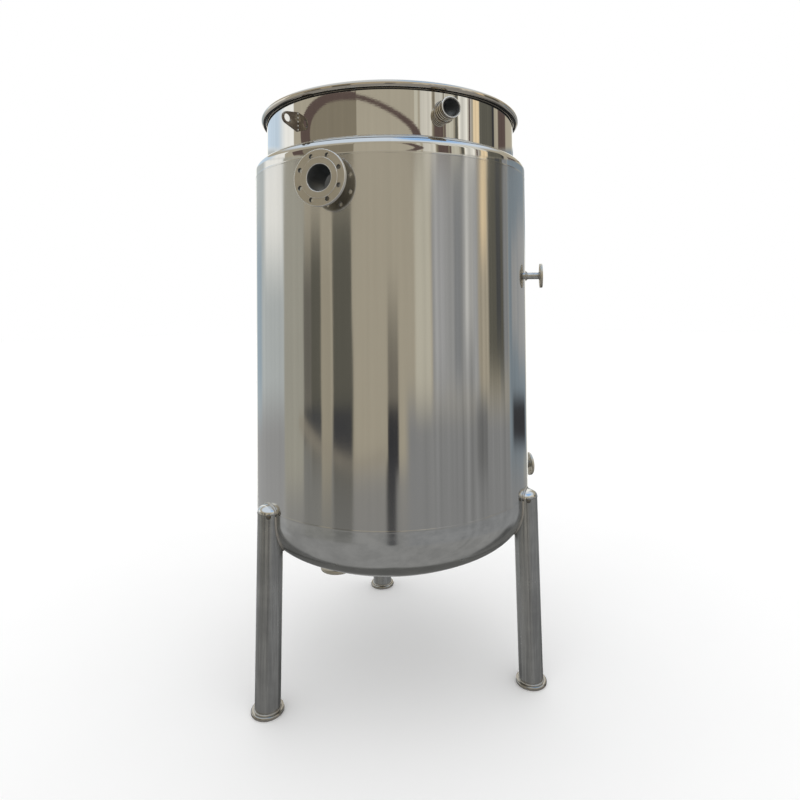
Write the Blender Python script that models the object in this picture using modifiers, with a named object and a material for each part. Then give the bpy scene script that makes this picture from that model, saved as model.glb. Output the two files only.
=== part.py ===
"""Jacketed upright storage tank on three tube legs, open at the top. Metres, +Z up, front towards -Y.

Azimuths are degrees round the tank from its front, growing towards +X.
"""

import math

import bmesh
import bpy
from mathutils import Matrix, Vector

TANK = "storage_tank"

# Fineness of round shapes, and the gap kept between pieces that touch
TANK_STEPS = 72
PIPE_STEPS = 24
FLANGE_STEPS = 36
HOLE_STEPS = 10
GAP = 0.0003
MERGE = 0.00005

# Inner vessel
VESSEL_RADIUS = 0.600
VESSEL_WALL = 0.004
RIM_TOP_Z = 2.585
RIM_ROLL_RADIUS = 0.0145
RIM_CENTRE_Z = RIM_TOP_Z - RIM_ROLL_RADIUS
RIM_CURL_DEG = 305
RIM_ARC_STEPS = 7

# Heating jacket round the vessel
JACKET_RADIUS = 0.652
JACKET_WALL = 0.003
TOP_SEAM_Z = 2.290
BOTTOM_SEAM_Z = 0.833
SHOULDER_STRAIGHT = 0.033
SHOULDER_RISE = 0.043
DISH_STRAIGHT = 0.044
SHOULDER_ARC_STEPS = 4
DISH_SPACE = 0.048
# Knuckle and crown radii of the dished bottoms, as shares of their own radius
DISH_KNUCKLE = 0.2928
DISH_CROWN = 1.710
KNUCKLE_STEPS = 4
CROWN_STEPS = 4

# Legs
LEG_AZIMUTHS = {"left": -31.3, "right": 88.7, "back": 208.7}
LEG_RADIUS = 0.0535
LEG_WALL = 0.003
LEG_CIRCLE_AT_FLOOR = 0.6655
LEG_CIRCLE_AT_SEAM = 0.649
LEG_TOP_Z = 0.827
CAP_STRAIGHT = 0.006
CAP_RISE = 0.026
CAP_ARC_STEPS = 4
FOOT_RADIUS = 0.0685
FOOT_HEIGHT = 0.016
FOOT_EDGE = 0.006
FOOT_ARC_STEPS = 3

# Main nozzle, a DN 100 pipe with an eight-hole flange
MAIN_AZIMUTH = 0.0
MAIN_Z = 2.186
MAIN_FACE = 0.725
MAIN_PIPE_RADIUS = 0.054
MAIN_PIPE_WALL = 0.003
MAIN_FLANGE_RADIUS = 0.110
MAIN_RAISED_RADIUS = 0.079
MAIN_FLANGE_THICKNESS = 0.018
RAISED_FACE = 0.002
MAIN_BOLT_CIRCLE = 0.090
MAIN_BOLT_RADIUS = 0.009
MAIN_BOLTS = 8

# Threaded union on the neck
UNION_AZIMUTH = 43.4
UNION_Z = 2.474
UNION_END = 0.6665
UNION_RADIUS = 0.0425
UNION_GROOVE = 0.003
UNION_RINGS = 4
UNION_LIP = 0.008
UNION_PIPE_RADIUS = 0.038
UNION_PIPE_WALL = 0.003
UNION_PIPE_INSIDE = 0.050

# Two DN 25 nozzles on the side of the jacket
SIDE_NOZZLES = {"upper": (101.9, 1.829), "lower": (124.3, 0.8555)}
SIDE_FACE = 0.733
SIDE_PIPE_RADIUS = 0.0165
SIDE_PIPE_WALL = 0.003
SIDE_FLANGE_RADIUS = 0.0575
SIDE_RAISED_RADIUS = 0.034
SIDE_FLANGE_THICKNESS = 0.014
SIDE_BOLT_CIRCLE = 0.0425
SIDE_BOLT_RADIUS = 0.007
SMALL_BOLTS = 4
COLLAR_RADIUS = 0.0215
COLLAR_THICKNESS = 0.005

# DN 50 outlet under the bottom
OUTLET_PLACE = (-0.262, -0.095)
OUTLET_FACE_Z = 0.402
OUTLET_PIPE_RADIUS = 0.03015
OUTLET_PIPE_WALL = 0.003
OUTLET_FLANGE_RADIUS = 0.0825
OUTLET_RAISED_RADIUS = 0.051
OUTLET_FLANGE_THICKNESS = 0.018
OUTLET_BOLT_CIRCLE = 0.0625
OUTLET_BOLT_RADIUS = 0.009
OUTLET_PIPE_INSIDE = 0.01005

# Two lifting lugs on the neck
LUG_EYE_STEPS = 20
LUG_AZIMUTHS = {"front": -18.2, "back": 161.8}
LUG_Z = 2.4645
LUG_ROOT_HEIGHT = 0.081
LUG_THICKNESS = 0.010
LUG_EYE_OUT = 0.053
LUG_EYE_UP = 0.006
LUG_EYE_RADIUS = 0.017
LUG_END_RADIUS = 0.0255
LUG_ARC_STEPS = 10

PIPE_INSIDE_VESSEL = 0.012
PIPE_INSIDE_JACKET = 0.008
PIPE_RECESS = 0.002

# The origin is under the middle of the tank's box, which reaches to the right and back feet and the main flange
RIGHT_REACH = LEG_CIRCLE_AT_FLOOR * math.sin(math.radians(LEG_AZIMUTHS["right"])) + FOOT_RADIUS
BACK_REACH = FOOT_RADIUS - LEG_CIRCLE_AT_FLOOR * math.cos(math.radians(LEG_AZIMUTHS["back"]))
CENTRE_SHIFT = Vector(((JACKET_RADIUS - RIGHT_REACH) / 2, (MAIN_FACE - BACK_REACH) / 2, 0.0))

STEEL = {
    "mirror": ((0.72, 0.71, 0.68), 0.08),
    "satin": ((0.60, 0.59, 0.56), 0.30),
    "dull": ((0.50, 0.50, 0.49), 0.38),
    "machined": ((0.62, 0.60, 0.56), 0.28),
}


def clear_scene():
    for thing in list(bpy.data.objects):
        bpy.data.objects.remove(thing, do_unlink=True)


def new_collection(name):
    collection = bpy.data.collections.new(name)
    bpy.context.scene.collection.children.link(collection)
    return collection


def steel(name, finish):
    colour, roughness = STEEL[finish]
    material = bpy.data.materials.new(name)
    material.use_nodes = True
    shader = material.node_tree.nodes["Principled BSDF"]
    shader.inputs["Base Color"].default_value = (*colour, 1.0)
    shader.inputs["Roughness"].default_value = roughness
    shader.inputs["Metallic"].default_value = 1.0
    return material


def outward(azimuth):
    """Unit vector pointing away from the tank's axis at an azimuth."""
    angle = math.radians(azimuth)
    return Vector((math.sin(angle), -math.cos(angle), 0.0))


def side_frame(azimuth, height):
    """Local Z points outward and local Y up, from the tank's axis at a height."""
    out = outward(azimuth)
    up = Vector((0.0, 0.0, 1.0))
    across = up.cross(out)
    frame = Matrix((across, up, out)).transposed().to_4x4()
    frame.translation = Vector((0.0, 0.0, height))
    return frame


def under_frame(place):
    """Local Z points down from the floor level under a place."""
    frame = Matrix.Rotation(math.pi, 4, "X")
    frame.translation = Vector((place[0], place[1], 0.0))
    return frame


def leg_frame(azimuth):
    """Local Z runs up the leaning leg from its centre at floor level."""
    foot = outward(azimuth) * LEG_CIRCLE_AT_FLOOR
    head = outward(azimuth) * LEG_CIRCLE_AT_SEAM + Vector((0.0, 0.0, BOTTOM_SEAM_Z))
    up = (head - foot).normalized()
    across = up.cross(outward(azimuth)).normalized()
    frame = Matrix((across.cross(up), across, up)).transposed().to_4x4()
    frame.translation = foot
    return frame


def turned(name, profile, steps, closed=True):
    """A profile of (radius, height) points, which runs down the outer side, turned round local Z."""
    mesh = bpy.data.meshes.new(name)
    edges = [(i, i + 1) for i in range(len(profile) - 1)]
    if closed:
        edges.append((len(profile) - 1, 0))
    mesh.from_pydata([(radius, 0.0, height) for radius, height in profile], edges, [])
    thing = bpy.data.objects.new(name, mesh)
    screw = thing.modifiers.new("Turn", "SCREW")
    screw.steps = steps
    screw.render_steps = steps
    screw.use_merge_vertices = True
    screw.merge_threshold = MERGE
    screw.use_smooth_shade = True
    return thing


def shell(name, profile, wall, steps=TANK_STEPS):
    """An open turned surface given its wall inwards."""
    thing = turned(name, profile, steps, closed=False)
    solid = thing.modifiers.new("Wall", "SOLIDIFY")
    solid.thickness = wall
    solid.offset = -1.0
    solid.use_even_offset = True
    return thing


def tube_profile(outer, inner, low, high):
    return [(outer, high), (outer, low), (inner, low), (inner, high)]


def arc(centre, radii, start, end, steps):
    """Points on an ellipse's arc from one angle to another, in degrees."""
    points = []
    for i in range(steps + 1):
        angle = math.radians(start + (end - start) * i / steps)
        points.append((centre[0] + radii[0] * math.cos(angle), centre[1] + radii[1] * math.sin(angle)))
    return points


def dish_arcs(radius):
    """Knuckle radius, crown radius, and the height of the crown's centre over the tangent line."""
    knuckle, crown = radius * DISH_KNUCKLE, radius * DISH_CROWN
    return knuckle, crown, math.sqrt((crown - knuckle) ** 2 - (radius - knuckle) ** 2)


def dish_profile(radius, top, tangent):
    """Straight edge, knuckle arc and crown arc of a dished bottom, from the seam down to the axis."""
    knuckle, crown, rise = dish_arcs(radius)
    meeting = math.degrees(math.atan2(radius - knuckle, rise)) - 90
    bowl = arc((radius - knuckle, tangent), (knuckle, knuckle), 0, meeting, KNUCKLE_STEPS)
    bowl += arc((0.0, tangent + rise), (crown, crown), meeting, -90, CROWN_STEPS)[1:]
    bowl[-1] = (0.0, bowl[-1][1])
    return [(radius, top)] + bowl


def cut(thing, cutter):
    boolean = thing.modifiers.new("Cut " + cutter.name, "BOOLEAN")
    boolean.operation = "DIFFERENCE"
    boolean.solver = "EXACT"
    boolean.object = cutter


def drill(name, radius, low, high, frame, centres=((0.0, 0.0),), steps=PIPE_STEPS):
    """A cutter of one or more straight drills along the frame's Z."""
    mesh = bpy.data.meshes.new(name)
    body = bmesh.new()
    for x, y in centres:
        bmesh.ops.create_cone(
            body, cap_ends=True, segments=steps, radius1=radius, radius2=radius, depth=high - low,
            matrix=Matrix.Translation((x, y, (high + low) / 2)),
        )
    body.to_mesh(mesh)
    body.free()
    cutter = bpy.data.objects.new(name, mesh)
    cutter.matrix_world = frame
    return cutter


def bolt_centres(circle, count):
    """Centres of bolt holes that straddle the flange's centre lines."""
    angles = [2 * math.pi * (i + 0.5) / count for i in range(count)]
    return [(circle * math.cos(a), circle * math.sin(a)) for a in angles]


class Workshop:
    """Keeps the tank's pieces and the cutters in their two collections."""

    def __init__(self):
        self.pieces = new_collection(TANK)
        self.cutters = new_collection(TANK + "_cutters")

    def piece(self, thing, finish, frame=None):
        thing.matrix_world = (frame or Matrix.Identity(4)).copy()
        thing.matrix_world.translation += CENTRE_SHIFT
        thing.data.materials.append(steel(thing.name + "_steel", finish))
        self.pieces.objects.link(thing)
        return thing

    def cutter(self, thing):
        thing.matrix_world.translation += CENTRE_SHIFT
        thing.hide_render = True
        thing.display_type = "WIRE"
        self.cutters.objects.link(thing)
        return thing


def build_vessel(shop):
    """Inner vessel: straight wall, dished bottom and a sheet rolled outwards round the mouth."""
    tangent = BOTTOM_SEAM_Z - DISH_STRAIGHT + DISH_SPACE
    wall_low = tangent + DISH_STRAIGHT
    wall = shell(
        "inner_vessel_wall",
        [(VESSEL_RADIUS, RIM_CENTRE_Z - GAP), (VESSEL_RADIUS, wall_low + GAP)],
        VESSEL_WALL,
    )
    bottom = shell("inner_vessel_bottom", dish_profile(VESSEL_RADIUS, wall_low, tangent), VESSEL_WALL)
    bore = VESSEL_RADIUS - VESSEL_WALL
    centre = (bore + RIM_ROLL_RADIUS, RIM_CENTRE_Z)
    inside = RIM_ROLL_RADIUS - VESSEL_WALL
    outer = arc(centre, (RIM_ROLL_RADIUS, RIM_ROLL_RADIUS), 180, 180 - RIM_CURL_DEG, RIM_ARC_STEPS)
    inner = arc(centre, (inside, inside), 180 - RIM_CURL_DEG, 180, RIM_ARC_STEPS)
    rim = turned("rolled_rim", outer + inner, TANK_STEPS)
    shop.piece(wall, "mirror")
    shop.piece(bottom, "mirror")
    shop.piece(rim, "mirror")
    return wall, bottom


def build_jacket(shop):
    """Jacket: straight wall, rounded shoulder up to the neck, and dished bottom."""
    wall = shell(
        "jacket_wall",
        [(JACKET_RADIUS, TOP_SEAM_Z), (JACKET_RADIUS, BOTTOM_SEAM_Z)],
        JACKET_WALL,
    )
    reach = JACKET_RADIUS - VESSEL_RADIUS - GAP
    bend_z = TOP_SEAM_Z + SHOULDER_STRAIGHT
    centre = (JACKET_RADIUS - reach, bend_z)
    inside = reach - JACKET_WALL
    outer = arc(centre, (reach, SHOULDER_RISE), 90, 0, SHOULDER_ARC_STEPS)
    inner = arc(centre, (inside, SHOULDER_RISE - JACKET_WALL), 0, 90, SHOULDER_ARC_STEPS)
    foot = [(JACKET_RADIUS, TOP_SEAM_Z + GAP), (JACKET_RADIUS - JACKET_WALL, TOP_SEAM_Z + GAP)]
    shoulder = turned("jacket_shoulder", outer + foot + inner, TANK_STEPS)
    tangent = BOTTOM_SEAM_Z - DISH_STRAIGHT
    bottom = shell("jacket_bottom", dish_profile(JACKET_RADIUS, BOTTOM_SEAM_Z - GAP, tangent), JACKET_WALL)
    shop.piece(wall, "satin")
    shop.piece(shoulder, "mirror")
    shop.piece(bottom, "dull")
    return wall, bottom


def jacket_envelope(shop):
    """The jacket's outside with the touching gap added, which copes the legs."""
    radius = JACKET_RADIUS + GAP
    tangent = BOTTOM_SEAM_Z - DISH_STRAIGHT
    bowl = dish_profile(radius, BOTTOM_SEAM_Z + 2 * LEG_RADIUS, tangent)
    bowl[-1] = (0.0, bowl[-1][1] - GAP)
    lid = [(0.0, BOTTOM_SEAM_Z + 2 * LEG_RADIUS)]
    return shop.cutter(turned("envelope", lid + bowl, TANK_STEPS, closed=False))


def floor_slab(shop):
    """A cutter that trims the leaning tubes level on top of their feet."""
    mesh = bpy.data.meshes.new("floor_slab")
    body = bmesh.new()
    width = 2 * (LEG_CIRCLE_AT_FLOOR + FOOT_RADIUS)
    depth = FOOT_HEIGHT + LEG_RADIUS
    centre = Matrix.Translation((0.0, 0.0, FOOT_HEIGHT + GAP - depth / 2))
    bmesh.ops.create_cube(body, size=1.0, matrix=centre @ Matrix.Diagonal((width, width, depth, 1.0)))
    body.to_mesh(mesh)
    body.free()
    return shop.cutter(bpy.data.objects.new("floor_slab", mesh))


def build_leg(shop, side, azimuth, envelope, slab):
    """A leaning tube coped to the jacket, its domed cap, and a round foot."""
    frame = leg_frame(azimuth)
    inner = LEG_RADIUS - LEG_WALL
    tube = turned("leg_tube_" + side, tube_profile(LEG_RADIUS, inner, -LEG_WALL, LEG_TOP_Z), PIPE_STEPS)
    shop.piece(tube, "dull", frame)
    cut(tube, envelope)
    cut(tube, slab)
    cap_low = LEG_TOP_Z + GAP
    dome_low = cap_low + CAP_STRAIGHT
    dome = arc((0.0, dome_low), (LEG_RADIUS, CAP_RISE), 90, 0, CAP_ARC_STEPS)
    dome[0] = (0.0, dome[0][1])
    cap = shell("leg_cap_" + side, dome + [(LEG_RADIUS, cap_low)], LEG_WALL, PIPE_STEPS)
    shop.piece(cap, "mirror", frame)
    cut(cap, envelope)
    foot_frame = Matrix.Translation(outward(azimuth) * LEG_CIRCLE_AT_FLOOR)
    round_top = arc((FOOT_RADIUS - FOOT_EDGE, FOOT_HEIGHT - FOOT_EDGE), (FOOT_EDGE, FOOT_EDGE), 90, 0, FOOT_ARC_STEPS)
    round_low = arc((FOOT_RADIUS - FOOT_EDGE, FOOT_EDGE), (FOOT_EDGE, FOOT_EDGE), 0, -90, FOOT_ARC_STEPS)
    foot_profile = [(0.0, FOOT_HEIGHT)] + round_top + round_low + [(0.0, 0.0)]
    foot = turned("leg_foot_" + side, foot_profile, PIPE_STEPS, closed=False)
    shop.piece(foot, "mirror", foot_frame)


def flange_profile(outer, raised, bore, face, thickness):
    """A slip-on flange whose raised face looks along local +Z."""
    step = face - RAISED_FACE
    back = face - thickness
    return [(bore, face), (raised, face), (raised, step), (outer, step), (outer, back), (bore, back)]


def build_flange(shop, name, frame, sizes, bolts, bore):
    """A round flange with its ring of bolt holes."""
    outer, raised, face, thickness = sizes
    circle, hole, count = bolts
    flange = turned(name, flange_profile(outer, raised, bore + GAP, face, thickness), FLANGE_STEPS)
    shop.piece(flange, "machined", frame)
    centres = bolt_centres(circle, count)
    reach = thickness
    holes = drill(name + "_bolts", hole, face - thickness - reach, face + reach, frame, centres, HOLE_STEPS)
    cut(flange, shop.cutter(holes))
    return flange


def build_main_nozzle(shop, jacket, vessel):
    """A flanged pipe through the jacket into the vessel."""
    frame = side_frame(MAIN_AZIMUTH, MAIN_Z)
    inner = MAIN_PIPE_RADIUS - MAIN_PIPE_WALL
    start = VESSEL_RADIUS - VESSEL_WALL - PIPE_INSIDE_VESSEL
    pipe_profile = tube_profile(MAIN_PIPE_RADIUS, inner, start, MAIN_FACE - PIPE_RECESS)
    pipe = turned("main_nozzle_pipe", pipe_profile, FLANGE_STEPS)
    shop.piece(pipe, "dull", frame)
    sizes = (MAIN_FLANGE_RADIUS, MAIN_RAISED_RADIUS, MAIN_FACE, MAIN_FLANGE_THICKNESS)
    bolts = (MAIN_BOLT_CIRCLE, MAIN_BOLT_RADIUS, MAIN_BOLTS)
    build_flange(shop, "main_nozzle_flange", frame, sizes, bolts, MAIN_PIPE_RADIUS)
    hole = drill("main_nozzle_hole", MAIN_PIPE_RADIUS + GAP, start, MAIN_FACE, frame, steps=FLANGE_STEPS)
    shop.cutter(hole)
    cut(jacket, hole)
    cut(vessel, hole)


def build_neck_union(shop, vessel):
    """A short threaded union on a pipe through the neck."""
    frame = side_frame(UNION_AZIMUTH, UNION_Z)
    inner = UNION_PIPE_RADIUS - UNION_PIPE_WALL
    start = VESSEL_RADIUS - VESSEL_WALL - UNION_PIPE_INSIDE
    profile = tube_profile(UNION_PIPE_RADIUS, inner, start, UNION_END - PIPE_RECESS)
    shop.piece(turned("neck_nozzle_pipe", profile, FLANGE_STEPS), "mirror", frame)
    root = VESSEL_RADIUS + UNION_GROOVE
    thread_top = UNION_END - UNION_LIP
    pitch = (thread_top - root) / UNION_RINGS
    outside = [(UNION_RADIUS, UNION_END)]
    for ring in range(UNION_RINGS):
        crest = thread_top - ring * pitch
        outside.append((UNION_RADIUS, crest))
        outside.append((UNION_RADIUS - UNION_GROOVE, crest - pitch / 2))
    outside.append((UNION_RADIUS, root))
    sleeve_bore = UNION_PIPE_RADIUS + GAP
    sleeve = turned(
        "neck_nozzle_union", outside + [(sleeve_bore, root), (sleeve_bore, UNION_END)], FLANGE_STEPS
    )
    shop.piece(sleeve, "mirror", frame)
    hole = drill("union_hole", UNION_PIPE_RADIUS + GAP, start, UNION_END, frame, steps=FLANGE_STEPS)
    cut(vessel, shop.cutter(hole))


def build_side_nozzle(shop, level, azimuth, height, jacket):
    """A small flanged pipe into the jacket space, with a collar where it is welded on."""
    name = level + "_side_nozzle_"
    frame = side_frame(azimuth, height)
    start = JACKET_RADIUS - JACKET_WALL - PIPE_INSIDE_JACKET
    inner = SIDE_PIPE_RADIUS - SIDE_PIPE_WALL
    profile = tube_profile(SIDE_PIPE_RADIUS, inner, start, SIDE_FACE - PIPE_RECESS)
    shop.piece(turned(name + "pipe", profile, PIPE_STEPS), "dull", frame)
    sizes = (SIDE_FLANGE_RADIUS, SIDE_RAISED_RADIUS, SIDE_FACE, SIDE_FLANGE_THICKNESS)
    bolts = (SIDE_BOLT_CIRCLE, SIDE_BOLT_RADIUS, SMALL_BOLTS)
    build_flange(shop, name + "flange", frame, sizes, bolts, SIDE_PIPE_RADIUS)
    bore = SIDE_PIPE_RADIUS + GAP
    seat = JACKET_RADIUS + GAP
    collar_profile = tube_profile(COLLAR_RADIUS, bore, seat, seat + COLLAR_THICKNESS)
    shop.piece(turned(name + "collar", collar_profile, PIPE_STEPS), "dull", frame)
    cut(jacket, shop.cutter(drill(name + "hole", bore, start, SIDE_FACE, frame)))


def build_outlet(shop, jacket_bottom, vessel_bottom):
    """A flanged pipe down from the vessel's bottom through the jacket's bottom."""
    frame = under_frame(OUTLET_PLACE)
    inner = OUTLET_PIPE_RADIUS - OUTLET_PIPE_WALL
    out = math.hypot(*OUTLET_PLACE)
    tangent = BOTTOM_SEAM_Z - DISH_STRAIGHT + DISH_SPACE
    crown, rise = dish_arcs(VESSEL_RADIUS)[1:]
    bowl_z = tangent + rise - math.sqrt(crown**2 - out**2)
    start = -(bowl_z + VESSEL_WALL + OUTLET_PIPE_INSIDE)
    face = -OUTLET_FACE_Z
    profile = tube_profile(OUTLET_PIPE_RADIUS, inner, start, face - PIPE_RECESS)
    shop.piece(turned("outlet_pipe", profile, PIPE_STEPS), "dull", frame)
    sizes = (OUTLET_FLANGE_RADIUS, OUTLET_RAISED_RADIUS, face, OUTLET_FLANGE_THICKNESS)
    bolts = (OUTLET_BOLT_CIRCLE, OUTLET_BOLT_RADIUS, SMALL_BOLTS)
    build_flange(shop, "outlet_flange", frame, sizes, bolts, OUTLET_PIPE_RADIUS)
    above = start - OUTLET_PIPE_RADIUS
    hole = shop.cutter(drill("outlet_hole", OUTLET_PIPE_RADIUS + GAP, above, face, frame))
    cut(jacket_bottom, hole)
    cut(vessel_bottom, hole)


def tangent_angle(eye, point, radius):
    """Angle on the eye's circle where a line from a point just touches it, for both sides."""
    away = Vector(point) - Vector(eye)
    spread = math.acos(radius / away.length)
    heading = math.atan2(away.y, away.x)
    return heading - spread, heading + spread


def lug_outline(root_out):
    """Root edge on the neck, tapering to a round end about the eye."""
    eye = (root_out + LUG_EYE_OUT, LUG_EYE_UP)
    top = (root_out, LUG_ROOT_HEIGHT / 2)
    low = (root_out, -LUG_ROOT_HEIGHT / 2)
    end = math.degrees(tangent_angle(eye, top, LUG_END_RADIUS)[0])
    start = math.degrees(tangent_angle(eye, low, LUG_END_RADIUS)[1])
    round_end = arc(eye, (LUG_END_RADIUS, LUG_END_RADIUS), start, end, LUG_ARC_STEPS)
    return [top, low] + round_end, eye


def add_spline(curve, points):
    spline = curve.splines.new("POLY")
    spline.points.add(len(points) - 1)
    for knot, (x, y) in zip(spline.points, points):
        knot.co = (x, y, 0.0, 1.0)
    spline.use_cyclic_u = True


def meshed(curve, name):
    """A flat curve's filled outline as one welded mesh with its faces pointing out."""
    drawing = bpy.data.objects.new(name + "_outline", curve)
    bpy.context.scene.collection.objects.link(drawing)
    depsgraph = bpy.context.evaluated_depsgraph_get()
    mesh = bpy.data.meshes.new_from_object(drawing.evaluated_get(depsgraph))
    bpy.data.objects.remove(drawing, do_unlink=True)
    body = bmesh.new()
    body.from_mesh(mesh)
    bmesh.ops.remove_doubles(body, verts=body.verts, dist=MERGE)
    bmesh.ops.recalc_face_normals(body, faces=body.faces)
    body.to_mesh(mesh)
    body.free()
    mesh.name = name
    return mesh


def build_lug(shop, side, azimuth):
    """A lifting plate that stands out from the neck, with a round eye."""
    name = "lifting_lug_" + side
    curve = bpy.data.curves.new(name + "_outline", "CURVE")
    curve.dimensions = "2D"
    curve.fill_mode = "BOTH"
    curve.extrude = LUG_THICKNESS / 2
    outline, eye = lug_outline(VESSEL_RADIUS + GAP)
    add_spline(curve, outline)
    last = 360 / LUG_EYE_STEPS
    add_spline(curve, arc(eye, (LUG_EYE_RADIUS, LUG_EYE_RADIUS), 360, last, LUG_EYE_STEPS - 1))
    out = outward(azimuth)
    up = Vector((0.0, 0.0, 1.0))
    frame = Matrix((out, up, out.cross(up))).transposed().to_4x4()
    frame.translation = Vector((0.0, 0.0, LUG_Z))
    shop.piece(bpy.data.objects.new(name, meshed(curve, name)), "dull", frame)


def main():
    clear_scene()
    shop = Workshop()
    vessel_wall, vessel_bottom = build_vessel(shop)
    jacket_wall, jacket_bottom = build_jacket(shop)
    envelope = jacket_envelope(shop)
    slab = floor_slab(shop)
    for side, azimuth in LEG_AZIMUTHS.items():
        build_leg(shop, side, azimuth, envelope, slab)
    build_main_nozzle(shop, jacket_wall, vessel_wall)
    build_neck_union(shop, vessel_wall)
    for level, (azimuth, height) in SIDE_NOZZLES.items():
        build_side_nozzle(shop, level, azimuth, height, jacket_wall)
    build_outlet(shop, jacket_bottom, vessel_bottom)
    for side, azimuth in LUG_AZIMUTHS.items():
        build_lug(shop, side, azimuth)


main()
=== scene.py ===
"""Finished surfaces and a plain studio for an upright jacketed storage tank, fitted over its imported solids.

Azimuths are degrees round the tank from its front, growing towards +X. Lengths are metres.
"""

import math
from functools import wraps

import bpy
import numpy as np
from bpy.props import FloatProperty, FloatVectorProperty, PointerProperty
from bpy.types import Operator, Panel, PropertyGroup
from mathutils import Matrix, Vector


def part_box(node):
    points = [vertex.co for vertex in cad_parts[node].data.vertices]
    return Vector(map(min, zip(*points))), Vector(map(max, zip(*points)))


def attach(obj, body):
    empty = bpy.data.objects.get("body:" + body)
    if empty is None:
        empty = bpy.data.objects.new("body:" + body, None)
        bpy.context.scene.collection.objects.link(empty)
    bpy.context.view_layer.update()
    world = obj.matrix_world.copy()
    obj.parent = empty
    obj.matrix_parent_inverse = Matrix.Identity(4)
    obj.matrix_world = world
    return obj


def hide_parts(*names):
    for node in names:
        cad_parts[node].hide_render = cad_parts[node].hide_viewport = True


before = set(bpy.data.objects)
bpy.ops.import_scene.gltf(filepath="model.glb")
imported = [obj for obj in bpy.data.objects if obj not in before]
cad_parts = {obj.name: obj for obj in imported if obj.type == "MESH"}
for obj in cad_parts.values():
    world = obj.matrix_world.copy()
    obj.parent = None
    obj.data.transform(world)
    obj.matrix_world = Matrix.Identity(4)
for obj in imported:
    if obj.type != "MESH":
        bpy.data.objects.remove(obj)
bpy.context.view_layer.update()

bl_info = {
    "name": "Jacketed storage tank",
    "version": (1, 0, 0),
    "blender": (4, 5, 0),
    "location": "3D View > Sidebar > Tank",
    "description": "Builds the finished surfaces of an upright jacketed tank over its packed solids",
    "category": "Object",
}

WALL_LOW, WALL_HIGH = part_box("jacket_wall")
AXIS = np.array([(WALL_LOW.x + WALL_HIGH.x) / 2, (WALL_LOW.y + WALL_HIGH.y) / 2, 0.0])
UP = np.array([0.0, 0.0, 1.0])

# Fineness of round shapes: columns round the tank, a flange, a pipe and a small pipe
TANK_COLUMNS, FLANGE_COLUMNS, PIPE_COLUMNS, SMALL_COLUMNS = 288, 144, 96, 64
# The tank's grids begin at this azimuth, where no nozzle stands
FIRST_AZIMUTH = -135.0
# How far a weld's section bulges, and how deep it closes inside its corner, as shares of the weld's size
WELD_BULGE, WELD_SINK = 0.22, 0.25
# Room between two surfaces that touch
TOUCH = 0.0003
# Points nearer than this are one
NEARNESS = 1e-6
# Edges that turn by more than this many degrees stay sharp
CREASE = 32.0
# Thickness of the plate that closes a leg's cap
CAP_FLOOR = 0.003

# Azimuths of the legs and lugs, and azimuths and heights of the side nozzles
LEGS = (("left", -31.3), ("right", 88.7), ("back", 208.7))
LUGS = (("front", -18.2), ("back", 161.8))
SIDE_NOZZLES = (("upper", 101.9, 1.829), ("lower", 124.3, 0.8555))

# Nozzle pipes: wall, the union's pipe radius, how far a pipe runs inside its shell, and how far it stops behind a face
PIPE_WALL, UNION_PIPE = 0.003, 0.038
MAIN_INSIDE, UNION_INSIDE, SIDE_INSIDE = 0.012, 0.050, 0.008
FACE_STEP = 0.002

# Fillet welds: size, points round the path and ripples
MAIN_ROOT, MAIN_BACK, MAIN_MOUTH = (0.007, 320, 120), (0.005, 320, 120), (0.0018, 320, 120)
SIDE_BACK, COLLAR_FACE, COLLAR_ROOT = (0.004, 120, 36), (0.0035, 120, 36), (0.0035, 160, 50)
OUTLET_ROOT, OUTLET_BACK, UNION_ROOT = (0.006, 200, 60), (0.005, 160, 60), (0.005, 240, 90)
FOOT_TOP, CAP_SEAM = (0.004, 240, 110), (0.0012, 240, 90)
# The lump in a cap's seam: azimuth, drop below the seam and radius
LUMP_AZIMUTH, LUMP_DROP, LUMP_RADIUS = 25.0, 0.005, 0.0105
# How far off the neck the union's thread begins, and how far the painted highlight on its lip runs back
UNION_SEAT, UNION_LIP = 0.003, 0.0018
# Bands of painted highlight on a flange: at its outer edge, on each side of its step, and round its mouth
EDGE_BAND, STEP_BAND, MOUTH_BAND = 0.0022, 0.0009, 0.0012

# Each kind of flange: radius of the raised face, thickness, bolt circle, bolt hole radius and number of holes
MAIN_FLANGE = {"raised": 0.079, "thickness": 0.018, "circle": 0.090, "hole": 0.009, "count": 8}
SIDE_FLANGE = {"raised": 0.034, "thickness": 0.014, "circle": 0.0425, "hole": 0.007, "count": 4}
OUTLET_FLANGE = {"raised": 0.051, "thickness": 0.018, "circle": 0.0625, "hole": 0.009, "count": 4}


# --- Sizes and colours that a user may change ---


def length(name, description, default):
    return FloatProperty(name=name, description=description, default=default, unit="LENGTH", precision=4)


def turn(name, description, default):
    return FloatProperty(name=name, description=description, default=math.radians(default), subtype="ANGLE")


def colour(name, description, default):
    return FloatVectorProperty(
        name=name, description=description, default=default, subtype="COLOR", size=3, min=0.0, max=2.0
    )


def share(name, description, default):
    return FloatProperty(name=name, description=description, default=default, min=0.0, max=1.0, subtype="FACTOR")


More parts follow.
